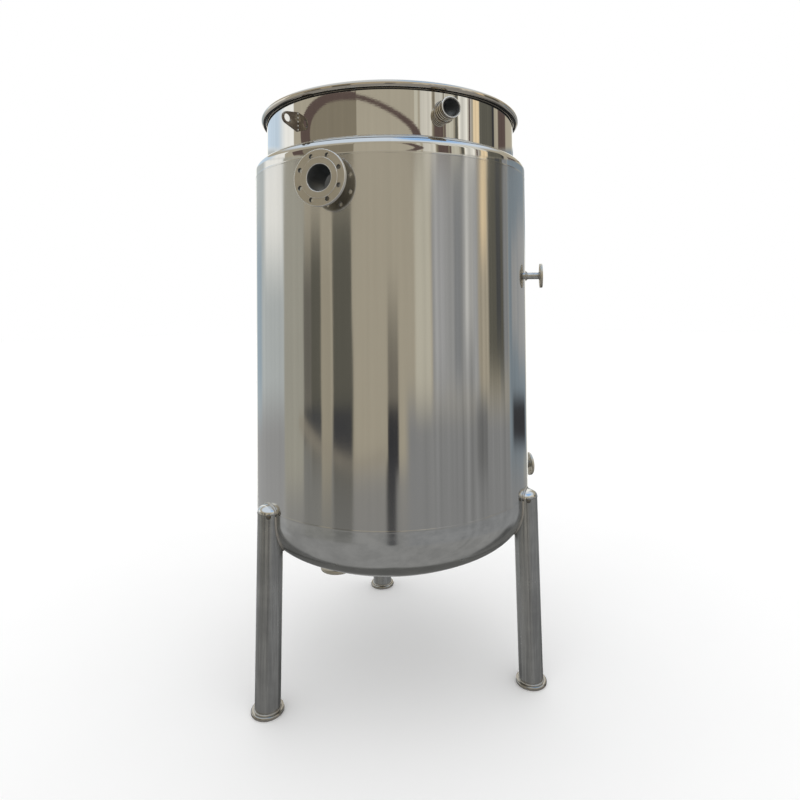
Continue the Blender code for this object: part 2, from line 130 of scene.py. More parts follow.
class TankBodySizes(PropertyGroup):
    """The vessel, its rim and the jacket round it."""

    vessel_radius: length("Vessel radius", "Outer radius of the inner vessel", 0.600)
    vessel_wall: length("Vessel wall", "Sheet thickness of the inner vessel", 0.004)
    vessel_low: length("Vessel seam", "Height of the vessel's lower seam", 0.881)
    rim_height: length("Rim height", "Height of the rolled rim's centre", 2.5705)
    rim_roll: length("Rim roll", "Outer radius of the rolled rim's section", 0.0145)
    jacket_radius: length("Jacket radius", "Outer radius of the jacket", 0.652)
    jacket_wall: length("Jacket wall", "Sheet thickness of the jacket", 0.003)
    top_seam: length("Top seam", "Height of the seam between wall and shoulder", WALL_HIGH.z)
    bottom_seam: length("Bottom seam", "Height of the seam between wall and bottom", WALL_LOW.z)
    shoulder_bend: length("Shoulder bend", "Height where the shoulder begins to bend inwards", 2.323)
    shoulder_rise: length("Shoulder rise", "Height of the shoulder's bend", 0.043)
    dish_edge: length("Straight edge", "Height of the straight edge above each dished bottom", 0.044)
    dish_knuckle: share("Knuckle", "Knuckle radius of the dished bottoms, as a share of their own radius", 0.2928)
    dish_crown: FloatProperty(
        name="Crown",
        description="Crown radius of the dished bottoms, as a share of their own radius",
        default=1.710,
        min=1.0,
    )
    seam_weld: length("Seam weld", "Width of the ground seam welds", 0.009)
    neck_weld: length("Neck weld", "Leg of the fillet weld between shoulder and neck", 0.006)


class TankLegSizes(PropertyGroup):
    """The three leaning tube legs."""

    tube_radius: length("Tube radius", "Outer radius of a leg's tube", 0.0535)
    tube_wall: length("Tube wall", "Wall thickness of a leg's tube", 0.003)
    floor_circle: length("Circle at floor", "Distance of the legs' centres from the axis at the floor", 0.6655)
    seam_circle: length("Circle at seam", "Distance of the legs' centres from the axis at the bottom seam", 0.649)
    tube_top: length("Tube top", "Length of the tube from the floor up its own axis", 0.827)
    cap_edge: length("Cap edge", "Straight edge of the domed cap", 0.006)
    cap_rise: length("Cap rise", "Height of the cap's dome", 0.026)
    foot_radius: length("Foot radius", "Radius of the round foot", 0.0685)
    foot_height: length("Foot height", "Height of the round foot", 0.016)
    foot_edge: length("Foot edge", "Rounding of the foot's edge", 0.006)
    weld: length("Leg weld", "Leg of the fillet weld round the leg's head", 0.006)


class TankNozzleSizes(PropertyGroup):
    """The flanged nozzles and the threaded union."""

    main_face: length("Main face", "Distance of the main flange's face from the axis", 0.725)
    main_height: length("Main height", "Height of the main nozzle", 2.186)
    main_pipe: length("Main pipe radius", "Outer radius of the main nozzle's pipe", 0.054)
    main_flange: length("Main flange radius", "Outer radius of the main flange", 0.110)
    side_face: length("Side face", "Distance of the side flanges' faces from the axis", 0.733)
    side_pipe: length("Side pipe radius", "Outer radius of the side nozzles' pipes", 0.0165)
    side_flange: length("Side flange radius", "Outer radius of the side flanges", 0.0575)
    collar_radius: length("Collar radius", "Radius of the collar at a side nozzle's root", 0.0215)
    collar_thickness: length("Collar thickness", "Thickness of the collar", 0.005)
    union_azimuth: turn("Union azimuth", "Where the threaded union stands", 43.4)
    union_height: length("Union height", "Height of the threaded union", 2.474)
    union_end: length("Union end", "Distance of the union's end from the axis", 0.6665)
    union_radius: length("Union radius", "Radius over the union's thread", 0.0425)
    union_depth: length("Thread depth", "Depth of the union's round thread", 0.0036)
    union_pitch: length("Thread pitch", "Distance from ring to ring of the union's thread", 0.0145)
    outlet_x: length("Outlet across", "Place of the outlet to the right of the axis", -0.262)
    outlet_y: length("Outlet along", "Place of the outlet behind the axis", -0.095)
    outlet_face: length("Outlet face", "Height of the outlet flange's face", 0.402)
    outlet_pipe: length("Outlet pipe radius", "Outer radius of the outlet's pipe", 0.03015)
    outlet_flange: length("Outlet flange radius", "Outer radius of the outlet's flange", 0.0825)


class TankLugSizes(PropertyGroup):
    """The two lifting lugs on the neck."""

    height: length("Lug height", "Height of the middle of a lug's root", 2.4645)
    root: length("Lug root", "Length of a lug's root along the neck", 0.081)
    thickness: length("Lug thickness", "Thickness of the plate", 0.010)
    eye_out: length("Eye reach", "Distance of the eye from the neck", 0.053)
    eye_up: length("Eye rise", "Height of the eye above the root's middle", 0.006)
    eye_radius: length("Eye radius", "Radius of the eye", 0.017)
    end_radius: length("End radius", "Radius of the plate's round end", 0.0255)
    tack: length("Tack weld", "Radius of the tack welds at the root", 0.0045)


class TankColours(PropertyGroup):
    """Colours of the steel's finishes."""

    mirror: colour("Mirror steel", "Polished neck, shoulder, rim, caps and feet", (0.70, 0.69, 0.67))
    satin: colour("Satin steel", "Brushed jacket wall", (0.64, 0.63, 0.61))
    dull: colour("Dull steel", "Jacket bottom and legs", (0.58, 0.58, 0.57))
    machined: colour("Machined steel", "Flange faces", (0.63, 0.585, 0.50))
    plate: colour("Lug steel", "Unpolished lug plates", (0.215, 0.18, 0.15))
    inside: colour("Vessel inside", "Unpolished inside of the vessel", (0.24, 0.24, 0.237))
    weld: colour("Weld steel", "Brushed weld beads", (0.48, 0.46, 0.43))
    heat_tint: colour("Heat tint", "Straw-brown tint beside welds", (0.42, 0.34, 0.24))
    mirror_roughness: share("Mirror roughness", "Haze of the mirror polish", 0.02)
    satin_roughness: share("Satin roughness", "Haze of the brushed jacket", 0.075)
    dull_roughness: share("Dull roughness", "Haze of the bottom and legs", 0.24)


class TankStudio(PropertyGroup):
    """Camera, floor and light."""

    camera_azimuth: turn("Camera azimuth", "Where the camera stands round the tank", 22.34)
    camera_distance: length("Camera distance", "Distance of the camera from the tank's axis", 2.856)
    camera_height: length("Camera height", "Height of the camera above the floor", 1.7117)
    camera_pan: turn("Camera pan", "Turn of the camera to the right of the axis", 2.160)
    camera_pitch: turn("Camera pitch", "Upward tilt of the camera", 1.037)
    camera_roll: turn("Camera roll", "Roll of the camera", 0.5157)
    floor: colour("Floor", "Plain pale floor", (0.96, 0.96, 0.96))
    backdrop: colour("Backdrop", "Plain pale background", (1.0, 1.0, 1.0))
    ground: colour("Lower studio", "Light from below the horizon", (0.32, 0.32, 0.315))
    wall: colour("Studio wall", "Warm light from the front, at the horizon", (0.51, 0.465, 0.365))
    sky: colour("Studio ceiling", "Cool light from above", (0.78, 0.88, 1.0))


# --- Frames and grids ---


def unit(vectors):
    return vectors / np.linalg.norm(vectors, axis=-1, keepdims=True)


def angles(count):
    """Angles once round, evenly spread."""
    return np.linspace(0.0, 2 * np.pi, count, endpoint=False)


def polar(radius, angle, height=0.0):
    """Points (r cos a, r sin a, z), for radii, angles and heights that broadcast to one grid."""
    return np.stack(np.broadcast_arrays(radius * np.cos(angle), radius * np.sin(angle), height), -1)


def from_axis(points):
    """The level way from the tank's axis to each point."""
    return (points - AXIS) * [1.0, 1.0, 0.0]


def axis_distance(points):
    return np.linalg.norm(from_axis(points), axis=-1)


class Place:
    """A spot with directions across, up and out of its own. World point = origin + x across + y up + z out."""

    def __init__(self, origin, across, up, out):
        self.origin = np.asarray(origin, float)
        self.axes = np.array([across, up, out], float)

    def world(self, points):
        return self.origin + points @ self.axes

    def local(self, points):
        return (points - self.origin) @ self.axes.T

    def beside(self, x, y):
        return Place(self.world(np.array([x, y, 0.0])), *self.axes)


def outward(azimuth):
    """Away from the tank's axis: (sin azimuth, -cos azimuth, 0)."""
    angle = math.radians(azimuth)
    return np.array([math.sin(angle), -math.cos(angle), 0.0])


def side_place(azimuth, height):
    """On the tank's axis at a height, with out pointing at an azimuth and up pointing up."""
    out = outward(azimuth)
    return Place(AXIS + height * UP, np.cross(UP, out), UP, out)


def under_place(x, y, height):
    """Beside the axis at a height, with out pointing down."""
    return Place(AXIS + [x, y, height], (1.0, 0.0, 0.0), (0.0, -1.0, 0.0), (0.0, 0.0, -1.0))


def standing_place(point):
    return Place(point, (1.0, 0.0, 0.0), (0.0, 1.0, 0.0), UP)


def grid_faces(columns, rows, closed):
    """Corner numbers of the four-sided faces of a grid that goes round. A closed one's last row joins its first."""
    i = np.arange(columns)[:, None]
    j = np.arange(rows if closed else rows - 1)[None, :]
    after_i, after_j = (i + 1) % columns, (j + 1) % rows
    corners = [i * rows + j, after_i * rows + j, after_i * rows + after_j, i * rows + after_j]
    return np.stack(corners, -1).reshape(-1, 4)


def placed(place, grid, closed=True):
    """Points and faces of a local grid whose columns go round. Where it is closed, its rows go round too."""
    return place.world(grid).reshape(-1, 3), grid_faces(*grid.shape[:2], closed)


def turned(place, profile, columns, closed=True):
    """A profile of (radius, height) points turned round out: x = radius cos a, y = radius sin a, z = height.

    A closed profile runs outwards low down, up its outer side and back down its inner side.
    """
    radius, height = np.asarray(profile, float).T
    return placed(place, polar(radius, angles(columns)[:, None], height), closed)


def softened(profile, bevel):
    """A closed profile with each corner P rounded: (1-t)^2 A + 2t(1-t) P + t^2 B. A and B lie on its two sides."""
    corner = np.asarray(profile, float)
    before, after = np.roll(corner, 1, 0) - corner, np.roll(corner, -1, 0) - corner
    reach_before = np.minimum(bevel, 0.45 * np.linalg.norm(before, axis=1))[:, None]
    reach_after = np.minimum(bevel, 0.45 * np.linalg.norm(after, axis=1))[:, None]
    start, end = corner + unit(before) * reach_before, corner + unit(after) * reach_after
    t = np.linspace(0.0, 1.0, 4)[None, :, None]
    rounded = (1 - t) ** 2 * start[:, None] + 2 * t * (1 - t) * corner[:, None] + t**2 * end[:, None]
    return rounded.reshape(-1, 2)


def arc(centre, radii, start, end, steps):
    """Points (x + a cos t, y + b sin t) along an ellipse's arc, in degrees."""
    angle = np.radians(np.linspace(start, end, steps + 1))
    return np.stack([centre[0] + radii[0] * np.cos(angle), centre[1] + radii[1] * np.sin(angle)], -1)


def joined(*parts):
    """Several (points, faces) pairs as one."""
    starts = np.cumsum([0] + [len(points) for points, _ in parts[:-1]])
    faces = [corners + start for (_, corners), start in zip(parts, starts)]
    return np.concatenate([points for points, _ in parts]), np.concatenate(faces)


def levels(low, high, coarse, spots):
    """Heights from low to high, evenly spread, with finer ones for each (middle, reach, count)."""
    fine = [np.linspace(max(low, z - reach), min(high, z + reach), count) for z, reach, count in spots]
    return np.unique(np.round(np.concatenate([np.linspace(low, high, coarse), *fine]), 5))


def tank_grid(radius, heights):
    """Points on the tank: AXIS + (r sin a, -r cos a, z), one column for each azimuth. Radius and height are arrays."""
    angle = (math.radians(FIRST_AZIMUTH) + angles(TANK_COLUMNS))[:, None]
    radius, heights = np.broadcast_arrays(np.asarray(radius, float), np.asarray(heights, float))
    return AXIS + np.stack([radius * np.sin(angle), -radius * np.cos(angle), heights + 0.0 * angle], -1)


# --- Sheets with round holes ---


class Hole:
    """A round hole through a sheet, along the out direction of its place."""

    def __init__(self, place, radius, room=1.45):
        self.place, self.radius, self.room = place, radius, room

    def block(self, grid):
        """The grid lines that frame the hole with room to spare: first and last column, first and last row."""
        local = self.place.local(grid)
        near = (np.abs(local[..., :2]) < self.radius * self.room).all(-1) & (local[..., 2] > -self.radius)
        columns, rows = np.flatnonzero(near.any(1)), np.flatnonzero(near.any(0))
        last = grid.shape[1] - 1
        return columns[0] - 1, columns[-1] + 1, max(rows[0] - 1, 0), min(rows[-1] + 1, last)


class Sheet:
    """Faces of a grid with a block left out round each hole, and a ring of straight spokes from hole to block.

    Both sides of a sheet share these faces. The spokes run in the hole's own plane, and lift puts them back on
    the surface.
    """

    spokes = np.array([0.0, 0.07, 0.25, 0.5, 0.75])

    def __init__(self, grid, holes):
        columns, rows = grid.shape[:2]
        numbers = np.arange(columns * rows).reshape(columns, rows)
        kept = np.ones((columns, rows - 1), bool)
        self.edges, self.holes, rings = [], holes, []
        start = columns * rows
        for first, last, low, high in (hole.block(grid) for hole in holes):
            kept[first:last, low:high] = False
            there = [numbers[first:last, low], numbers[last, low:high]]
            back = [numbers[last:first:-1, high], numbers[first, high:low:-1]]
            edge = np.concatenate(there + back)
            fresh = start + np.arange(len(self.spokes) * len(edge)).reshape(len(self.spokes), -1)
            ring = np.concatenate([fresh, edge[None]])
            beside = np.roll(ring, -1, axis=1)
            rings.append(np.stack([ring[1:], beside[1:], beside[:-1], ring[:-1]], -1).reshape(-1, 4))
            start += fresh.size
            self.edges.append(edge)
        whole = grid_faces(columns, rows, False)[kept.ravel()]
        self.faces = np.concatenate([whole, *rings])

    def side(self, grid, lift, drop=0.0):
        """One side's points. lift gives a hole's local height at its local x and y; drop sinks the hole's edge."""
        flat = grid.reshape(-1, 3)
        parts = [flat]
        for edge, hole in zip(self.edges, self.holes):
            ends = hole.place.local(flat[edge])[:, :2]
            starts = hole.radius * unit(ends)
            spoke = starts + (ends - starts) * self.spokes[:, None, None]
            height = lift(hole, spoke[..., 0], spoke[..., 1])
            height[0] -= drop
            parts.append(hole.place.world(np.concatenate([spoke, height[..., None]], -1)).reshape(-1, 3))
        return np.concatenate(parts)


def plate(outside, inside, faces):
    """A closed sheet between two copies of a surface. Every edge that only one face has gets a wall."""
    edges = np.stack([faces, np.roll(faces, -1, axis=1)], -1).reshape(-1, 2)
    count = len(outside)
    free = edges[~np.isin(edges[:, 0] * count + edges[:, 1], edges[:, 1] * count + edges[:, 0])]
    walls = np.stack([free[:, 1], free[:, 0], free[:, 0] + count, free[:, 1] + count], -1)
    return np.concatenate([outside, inside]), np.concatenate([faces, faces[:, ::-1] + count, walls])


# --- Welds ---


def fillet(path, first_normal, second_normal, size, waves):
    """A fillet weld round a closed path in the corner of two surfaces.

    Each surface's normal is given once or for each point. In each surface the bead reaches away from the corner
    along the surface's normal crossed with the path. Its section goes from one reach to the other with a bulge of
    sin(pi t), and closes inside the corner. Slow waves and fine ripples swell it.
    """
    ahead = unit(np.roll(path, -1, 0) - np.roll(path, 1, 0))
    first, second = np.cross(first_normal, ahead), np.cross(second_normal, ahead)
    first = unit(first * np.sign((first * second_normal).sum(-1, keepdims=True)))
    second = unit(second * np.sign((second * first_normal).sum(-1, keepdims=True)))
    steps = np.linalg.norm(np.diff(path, axis=0, append=path[:1]), axis=1)
    along = np.cumsum(steps) / steps.sum()
    slow = 0.05 * np.sin(2 * np.pi * 7 * along + 1.0) + 0.04 * np.sin(2 * np.pi * 19 * along + 2.0)
    swell = size * (1.0 + slow + 0.06 * np.sin(2 * np.pi * waves * along))
    t = np.linspace(0.0, 1.0, 7)[None, :, None]
    bulge = WELD_BULGE * np.sin(np.pi * t)
    section = (1 - t + bulge) * first[:, None] + (t + bulge) * second[:, None]
    section = np.concatenate([section, -WELD_SINK * (first + second)[:, None]], 1)
    grid = path[:, None] + swell[:, None, None] * section
    faces = grid_faces(len(path), section.shape[1], True)
    facing = np.cross(ahead[0], second[0] - first[0]) @ (first[0] + second[0])
    return grid.reshape(-1, 3), faces if facing > 0 else faces[:, ::-1]


def ring_path(place, radius, height, count):
    """A circle round out at a height, and its outward radial directions."""
    radial = polar(1.0, angles(count))
    return place.world(radial * radius + [0.0, 0.0, height]), radial @ place.axes


def ring_weld(place, radius, height, normal, weld, side=1.0):
    """A weld round a pipe against a flat face with this normal. With side -1 it lies inside the pipe."""
    size, points, waves = weld
    path, radial = ring_path(place, radius, height, points)
    return fillet(path, side * radial, normal, size, waves)


def root_path(place, pipe_radius, tank_radius, count):
    """Where a pipe meets the tank: x = p cos a, y = p sin a, z = root of R^2 - x^2, with both surfaces' normals."""
    radial = polar(1.0, angles(count))
    x, y = pipe_radius * radial[:, 0], pipe_radius * radial[:, 1]
    z = np.sqrt(tank_radius**2 - x**2)
    tank = unit(np.stack([x, 0 * x, z], -1)) @ place.axes
    return place.world(np.stack([x, y, z], -1)), radial @ place.axes, tank


def root_weld(place, pipe_radius, tank_radius, weld):
    """A weld where a pipe meets the tank."""
    size, points, waves = weld
    return fillet(*root_path(place, pipe_radius, tank_radius, points), size, waves)


def tack(point, normal, radius):
    """A squashed round blob: a half-sunk ball turned round the surface's normal."""
    across = unit(np.cross(normal, UP + 0.01))
    place = Place(point, across, np.cross(normal, across), normal)
    angle = np.radians(np.linspace(-90.0, 90.0, 9))
    profile = np.stack([radius * np.cos(angle), 0.6 * radius * np.sin(angle)], -1)
    profile[[0, -1], 0] = 0.0
    return turned(place, profile, 16, closed=False)


# --- Shader graphs ---


class Wire:
    """An output socket that can stand in sums. Sums of values become Math nodes."""

    def __init__(self, graph, socket):
        self.graph, self.socket = graph, socket

    def math(self, operation, *values):
        return self.graph.add("ShaderNodeMath", {"operation": operation}, dict(enumerate(values)))

    def __add__(self, other):
        return self.math("ADD", self, other)

    def __sub__(self, other):
        return self.math("SUBTRACT", self, other)

    def __mul__(self, other):
        return self.math("MULTIPLY", self, other)

    def __truediv__(self, other):
        return self.math("DIVIDE", self, other)

    def __radd__(self, other):
        return self.math("ADD", other, self)

    def __rsub__(self, other):
        return self.math("SUBTRACT", other, self)

    def __rmul__(self, other):
        return self.math("MULTIPLY", other, self)

    def __abs__(self):
        return self.math("ABSOLUTE", self)


class Graph:
    """The nodes of one material or of the studio's light, and the colours that they use."""

    def __init__(self, tree):
        self.tree, self.colours = tree, bpy.context.scene.tank_colours
        tree.nodes.clear()

    def add(self, kind, settings=None, sockets=None, output=0):
        """A node of a kind. Its settings are set first, then each socket's value or link."""
        node = self.tree.nodes.new(kind)
        for name, value in (settings or {}).items():
            setattr(node, name, value)
        for name, value in (sockets or {}).items():
            socket = node.inputs[name]
            if isinstance(value, Wire):
                self.tree.links.new(value.socket, socket)
            elif hasattr(value, "__len__") and socket.type == "RGBA":
                socket.default_value = (*value, 1.0)
            else:
                socket.default_value = value
        return Wire(self, node.outputs[output]) if node.outputs else None

    def place(self):
        return self.add("ShaderNodeTexCoord", output="Object")

    def noise(self, vector, scale, detail=2.0, roughness=0.5):
        """Noise from 0 to 1 about one half."""
        sockets = {"Vector": vector, "Scale": scale, "Detail": detail, "Roughness": roughness}
        return self.add("ShaderNodeTexNoise", {"noise_dimensions": "3D"}, sockets)

    def line_noise(self, value, scale, detail):
        """Noise from 0 to 1 along one value."""
        sockets = {"W": value, "Scale": scale, "Detail": detail}
        return self.add("ShaderNodeTexNoise", {"noise_dimensions": "1D"}, sockets)

    def stretched(self, vector, scale):
        return self.add("ShaderNodeMapping", {"vector_type": "POINT"}, {"Vector": vector, "Scale": scale})

    def vector(self, operation, *values, output=0):
        return self.add("ShaderNodeVectorMath", {"operation": operation}, dict(enumerate(values)), output)

    def part(self, vector, axis):
        return self.add("ShaderNodeSeparateXYZ", {}, {"Vector": vector}, axis)

    def blend(self, factor, first, second):
        """Colour from first to second as the factor goes from 0 to 1."""
        sockets = {"Factor": factor, 6: first, 7: second}
        return self.add("ShaderNodeMix", {"data_type": "RGBA", "clamp_factor": True}, sockets, 2)

    def shade(self, factor, tint, low, high):
        """The tint times low up to the tint times high as the factor goes from 0 to 1."""
        return self.blend(factor, scaled(tint, low), scaled(tint, high))

    def window(self, value, low, high, low_edge, high_edge):
        """1 from low to high and 0 outside, with a smooth step of twice its edge at each end."""
        rise = self.ease(value, low - low_edge, low + low_edge)
        return rise * self.ease(value, high - high_edge, high + high_edge, 1.0, 0.0)

    def ease(self, value, low, high, start=0.0, end=1.0):
        """start below low, end above high, and a smooth step between."""
        sockets = {"Value": value, "From Min": low, "From Max": high, "To Min": start, "To Max": end}
        return self.add("ShaderNodeMapRange", {"interpolation_type": "SMOOTHSTEP"}, sockets)

    def bump(self, height, distance, strength=1.0, normal=None):
        sockets = {"Height": height, "Distance": distance, "Strength": strength}
        if normal is not None:
            sockets["Normal"] = normal
        return self.add("ShaderNodeBump", {}, sockets)

    def finish_steel(self, tint, roughness, normal, anisotropy=0.0):
        """Bare metal. Where it is brushed, anisotropy blurs what it reflects upwards and downwards."""
        shader = self.add(
            "ShaderNodeBsdfPrincipled",
            {"distribution": "MULTI_GGX"},
            {"Base Color": tint, "Roughness": roughness, "Metallic": 1.0, "Normal": normal},
        )
        inputs = shader.socket.node.inputs
        inputs["Anisotropic"].default_value = anisotropy
        inputs["Anisotropic Rotation"].default_value = 0.25 if anisotropy else 0.0
        self.add("ShaderNodeOutputMaterial", {}, {"Surface": shader})


def scaled(tint, factor):
    return tuple(factor * part for part in tint)


def made_once(build):
    """Turns a function that fills a graph into one that gives the material of a name, made on its first call."""

    @wraps(build)
    def give(name, *sizes, **more):
        material = bpy.data.materials.get(name)
        if material is None:
            material = bpy.data.materials.new(name)
            material.use_nodes = True
            build(Graph(material.node_tree), *sizes, **more)
        return material

    return give


@made_once
def mirror_steel(graph, waviness, warmth=(1.0, 1.0, 1.0)):
    """Polished sheet: faint clouds in tone and haze, fine wiping marks, and the slow waves of rolled sheet."""
    spot = graph.place()
    cloud = graph.noise(spot, 5.0, 3.0)
    marks = graph.noise(graph.stretched(spot, (1.0, 1.0, 6.0)), 40.0, 4.0, 0.6)
    tint = graph.shade(cloud, np.multiply(graph.colours.mirror, warmth), 0.95, 1.04)
    haze = graph.colours.mirror_roughness * 0.5 + cloud * graph.colours.mirror_roughness + (marks - 0.5) * 0.02
    slow = graph.bump(graph.noise(graph.stretched(spot, (1.0, 1.0, 0.2)), 7.0, 1.0), waviness)
    graph.finish_steel(tint, haze, graph.bump(marks, 0.00002, 0.5, slow))


@made_once
def satin_steel(graph):
    """Sheet brushed upright: streaks in tone and haze, fine scratches, smudges and slow waves, hazier top and low."""
    spot = graph.place()
    streak = graph.noise(graph.stretched(spot, (1.0, 1.0, 0.03)), 30.0, 4.0, 0.6)
    brush = graph.noise(graph.stretched(spot, (1.0, 1.0, 0.01)), 600.0, 2.0)
    cloud = graph.noise(spot, 3.0, 5.0, 0.6)
    tint = graph.shade(0.35 * streak + 0.2 * brush + 0.45 * cloud, graph.colours.satin, 0.90, 1.08)
    height = graph.part(spot, 2)
    top = graph.ease(height, 1.8, 2.25, 0.0, 0.06)
    low = graph.ease(height, 0.84, 1.15, 0.05, 0.0)
    haze = graph.colours.satin_roughness + top + low + (streak - 0.5) * 0.03 + (cloud - 0.5) * 0.05
    slow = graph.bump(graph.noise(graph.stretched(spot, (1.0, 1.0, 0.35)), 4.0, 1.0), 0.0006)
    graph.finish_steel(tint, haze, graph.bump(brush, 0.00003, 0.5, slow), 0.70)


@made_once
def dull_steel(graph, grain, anisotropy=0.0, shade=1.0, contrast=0.19, haziness=1.0, fineness=120.0):
    """Half-bright steel with grinding marks along the grain, mottled haze and water stains."""
    steel = scaled(graph.colours.dull, shade)
    spot = graph.place()
    marks = graph.noise(graph.stretched(spot, grain), fineness, 4.0, 0.6)
    band = graph.noise(graph.stretched(spot, grain), fineness * 0.375, 2.0)
    cloud = graph.noise(spot, 8.0, 5.0, 0.65)
    stain = graph.ease(graph.noise(spot, 3.5, 4.0, 0.6), 0.55, 0.75)
    tone = graph.ease(0.35 * marks + 0.35 * band + 0.3 * cloud, 0.36, 0.64)
    tint = graph.shade(tone, steel, 0.93 - contrast, 0.93 + contrast)
    tint = graph.blend(stain * 0.35, tint, scaled(steel, 0.72))
    haze = graph.colours.dull_roughness * haziness + (marks - 0.5) * 0.14 * haziness + (cloud - 0.5) * 0.16 * haziness
    graph.finish_steel(tint, haze, graph.bump(marks, 0.00006, 0.6 * haziness), anisotropy)


def pipe_steel():
    return dull_steel("pipe steel", (1.0, 1.0, 1.0))


def cap_polish():
    return mirror_steel("cap polish", 0.0002)


@made_once
def machined_steel(graph, place):
    """A lathe-turned flange: fine rings about the place's own axis, a soft matt sheen and faint straw stains."""
    spot = graph.place()
    away = graph.vector("SUBTRACT", spot, tuple(place.origin))
    flat = graph.vector("CROSS_PRODUCT", away, tuple(place.axes[2]))
    radius = graph.vector("LENGTH", flat, output=1)
    rings = graph.line_noise(radius, 900.0, 2.0)
    cloud = graph.noise(spot, 18.0, 4.0, 0.6)
    speck = graph.noise(spot, 260.0, 2.0)
    tint = graph.shade(0.45 * rings + 0.4 * cloud + 0.15 * speck, graph.colours.machined, 0.84, 1.10)
    haze = 0.42 + (rings - 0.5) * 0.16 + (cloud - 0.5) * 0.14
    graph.finish_steel(tint, haze, graph.bump(0.7 * rings + 0.3 * speck, 0.00008, 0.7))


@made_once
def faced_highlight_steel(graph):
    """Freshly faced edges and ends, coloured near white as a painted highlight: matt and faintly turned."""
    mark = graph.noise(graph.place(), 400.0, 2.0)
    tint = graph.blend(mark, (0.86, 0.85, 0.83), (0.98, 0.97, 0.95))
    graph.finish_steel(tint, 0.42, graph.bump(mark, 0.00005))


@made_once
def thread_steel(graph, place, root, pitch):
    """Turned thread: dark brown painted shade in the grooves, found as the thread's own cosine, and crests brightened
    as a painted highlight.
    """
    spot = graph.place()
    away = graph.vector("SUBTRACT", spot, tuple(place.origin))
    aside, upright, height = (graph.vector("DOT_PRODUCT", away, tuple(axis), output=1) for axis in place.axes)
    turns = (height - root) / pitch - upright.math("ARCTAN2", upright, aside) / (2 * math.pi)
    groove = 0.5 - 0.5 * turns.math("COSINE", turns * (2 * math.pi))
    mottle = graph.noise(spot, 60.0, 4.0, 0.6)
    # Painted shade in the grooves, dark brown; the crests get a brightened machined tint as painted highlight
    groove_shade = graph.ease(groove + (mottle - 0.5) * 0.5, 0.20, 0.72)
    tint = graph.blend(groove_shade, scaled(graph.colours.machined, 1.35), (0.075, 0.048, 0.030))
    graph.finish_steel(tint, 0.14 + groove_shade * 0.25, graph.bump(graph.noise(spot, 500.0), 0.00004))


@made_once
def weld_steel(graph, heat=1.0, shade=1.0):
    """Brushed bead: fine ripples, a brown heat tint in patches, and a rough broken sheen."""
    bead = scaled(graph.colours.weld, shade)
    burnt = scaled(graph.colours.heat_tint, shade)
    tinted = tuple(heat * brown + (1.0 - heat) * plain for brown, plain in zip(burnt, bead))
    spot = graph.place()
    patch = graph.noise(spot, 30.0, 4.0, 0.6)
    ripple = graph.noise(spot, 400.0, 3.0)
    tint = graph.blend(graph.ease(patch, 0.40, 0.65), bead, tinted)
    tint = graph.blend(ripple * 0.4, tint, scaled(bead, 1.25))
    graph.finish_steel(tint, 0.30 + patch * 0.16, graph.bump(ripple, 0.0004, 0.8))


@made_once
def plate_steel(graph):
    """Unpolished plate: brown-grey scale, rolled grain and rubbed spots."""
    spot = graph.place()
    scale = graph.noise(spot, 45.0, 5.0, 0.7)
    rubbed = graph.ease(graph.noise(spot, 22.0, 3.0), 0.52, 0.68)
    tint = graph.shade(scale, graph.colours.plate, 0.70, 1.35)
    tint = graph.blend(rubbed * 0.5, tint, scaled(graph.colours.machined, 0.9))
    haze = 0.50 + (scale - 0.5) * 0.2 - rubbed * 0.1
    graph.finish_steel(tint, haze, graph.bump(scale, 0.0003, 0.7))


@made_once
def inside_steel(graph, depth=1.0):
    """Unpolished inside of the vessel: rolled sheet with long faint streaks, brighter below 1.9 m as painted light and
    darker above 2.3 m as painted shade, scaled by depth, which dims it as painted shade below 1.
    """
    spot = graph.place()
    streak = graph.noise(graph.stretched(spot, (1.0, 1.0, 0.08)), 60.0, 4.0, 0.6)
    cloud = graph.noise(spot, 5.0, 4.0, 0.6)
    tone = 0.5 * streak + 0.5 * cloud
    dim = graph.shade(tone, graph.colours.inside, 0.75 * depth, 1.25 * depth)
    # Painted light: the lower inside is brighter, while the upper inside stays dark as painted shade
    painted_light_low = graph.shade(tone, graph.colours.inside, 1.8 * depth, 3.0 * depth)
    tint = graph.blend(graph.ease(graph.part(spot, 2), 1.9, 2.3), painted_light_low, dim)
    graph.finish_steel(tint, 0.62 + (cloud - 0.5) * 0.2, graph.bump(streak, 0.00008, 0.5))


@made_once
def bore_shade_steel(graph):
    """Painted shade inside a nozzle's bore: dark matt steel, mottled, with fine marks."""
    spot = graph.place()
    mottle = graph.noise(spot, 35.0, 4.0, 0.6)
    # Painted shade: two dark tints stand in for the shade inside a bore
    tint = graph.blend(mottle, (0.20, 0.205, 0.205), (0.33, 0.33, 0.325))
    graph.finish_steel(tint, 0.62 + (mottle - 0.5) * 0.2, graph.bump(graph.noise(spot, 300.0), 0.0001, 0.6))


@made_once
def floor_paint(graph, tone):
    """Plain pale floor with a hardly seen speckle."""
    tint = graph.shade(graph.noise(graph.place(), 2.0, 4.0), tone, 0.985, 1.01)
    graph.add("ShaderNodeOutputMaterial", {}, {"Surface": graph.add("ShaderNodeBsdfDiffuse", {}, {"Color": tint})})


# --- Pieces ---


def welded(points, faces):
    """Joins points that coincide, and drops corners and faces that close up, as at a pole."""
    keys = np.round(points / NEARNESS).astype(np.int64)
    _, first, number = np.unique(keys, axis=0, return_index=True, return_inverse=True)
    corners = number.reshape(-1)[faces]
    same = corners == np.roll(corners, -1, axis=1)
    quads = corners[~same.any(axis=1)]
    once = same.sum(axis=1) == 1
    triangles = corners[once][~same[once]].reshape(-1, 3)
    return points[first], [*quads.tolist(), *triangles.tolist()]


def nearer_than(place, limit):
    """A test for points nearer to the place's out line than the limit."""
    return lambda points: np.linalg.norm(place.local(points)[:, :2], axis=1) < limit


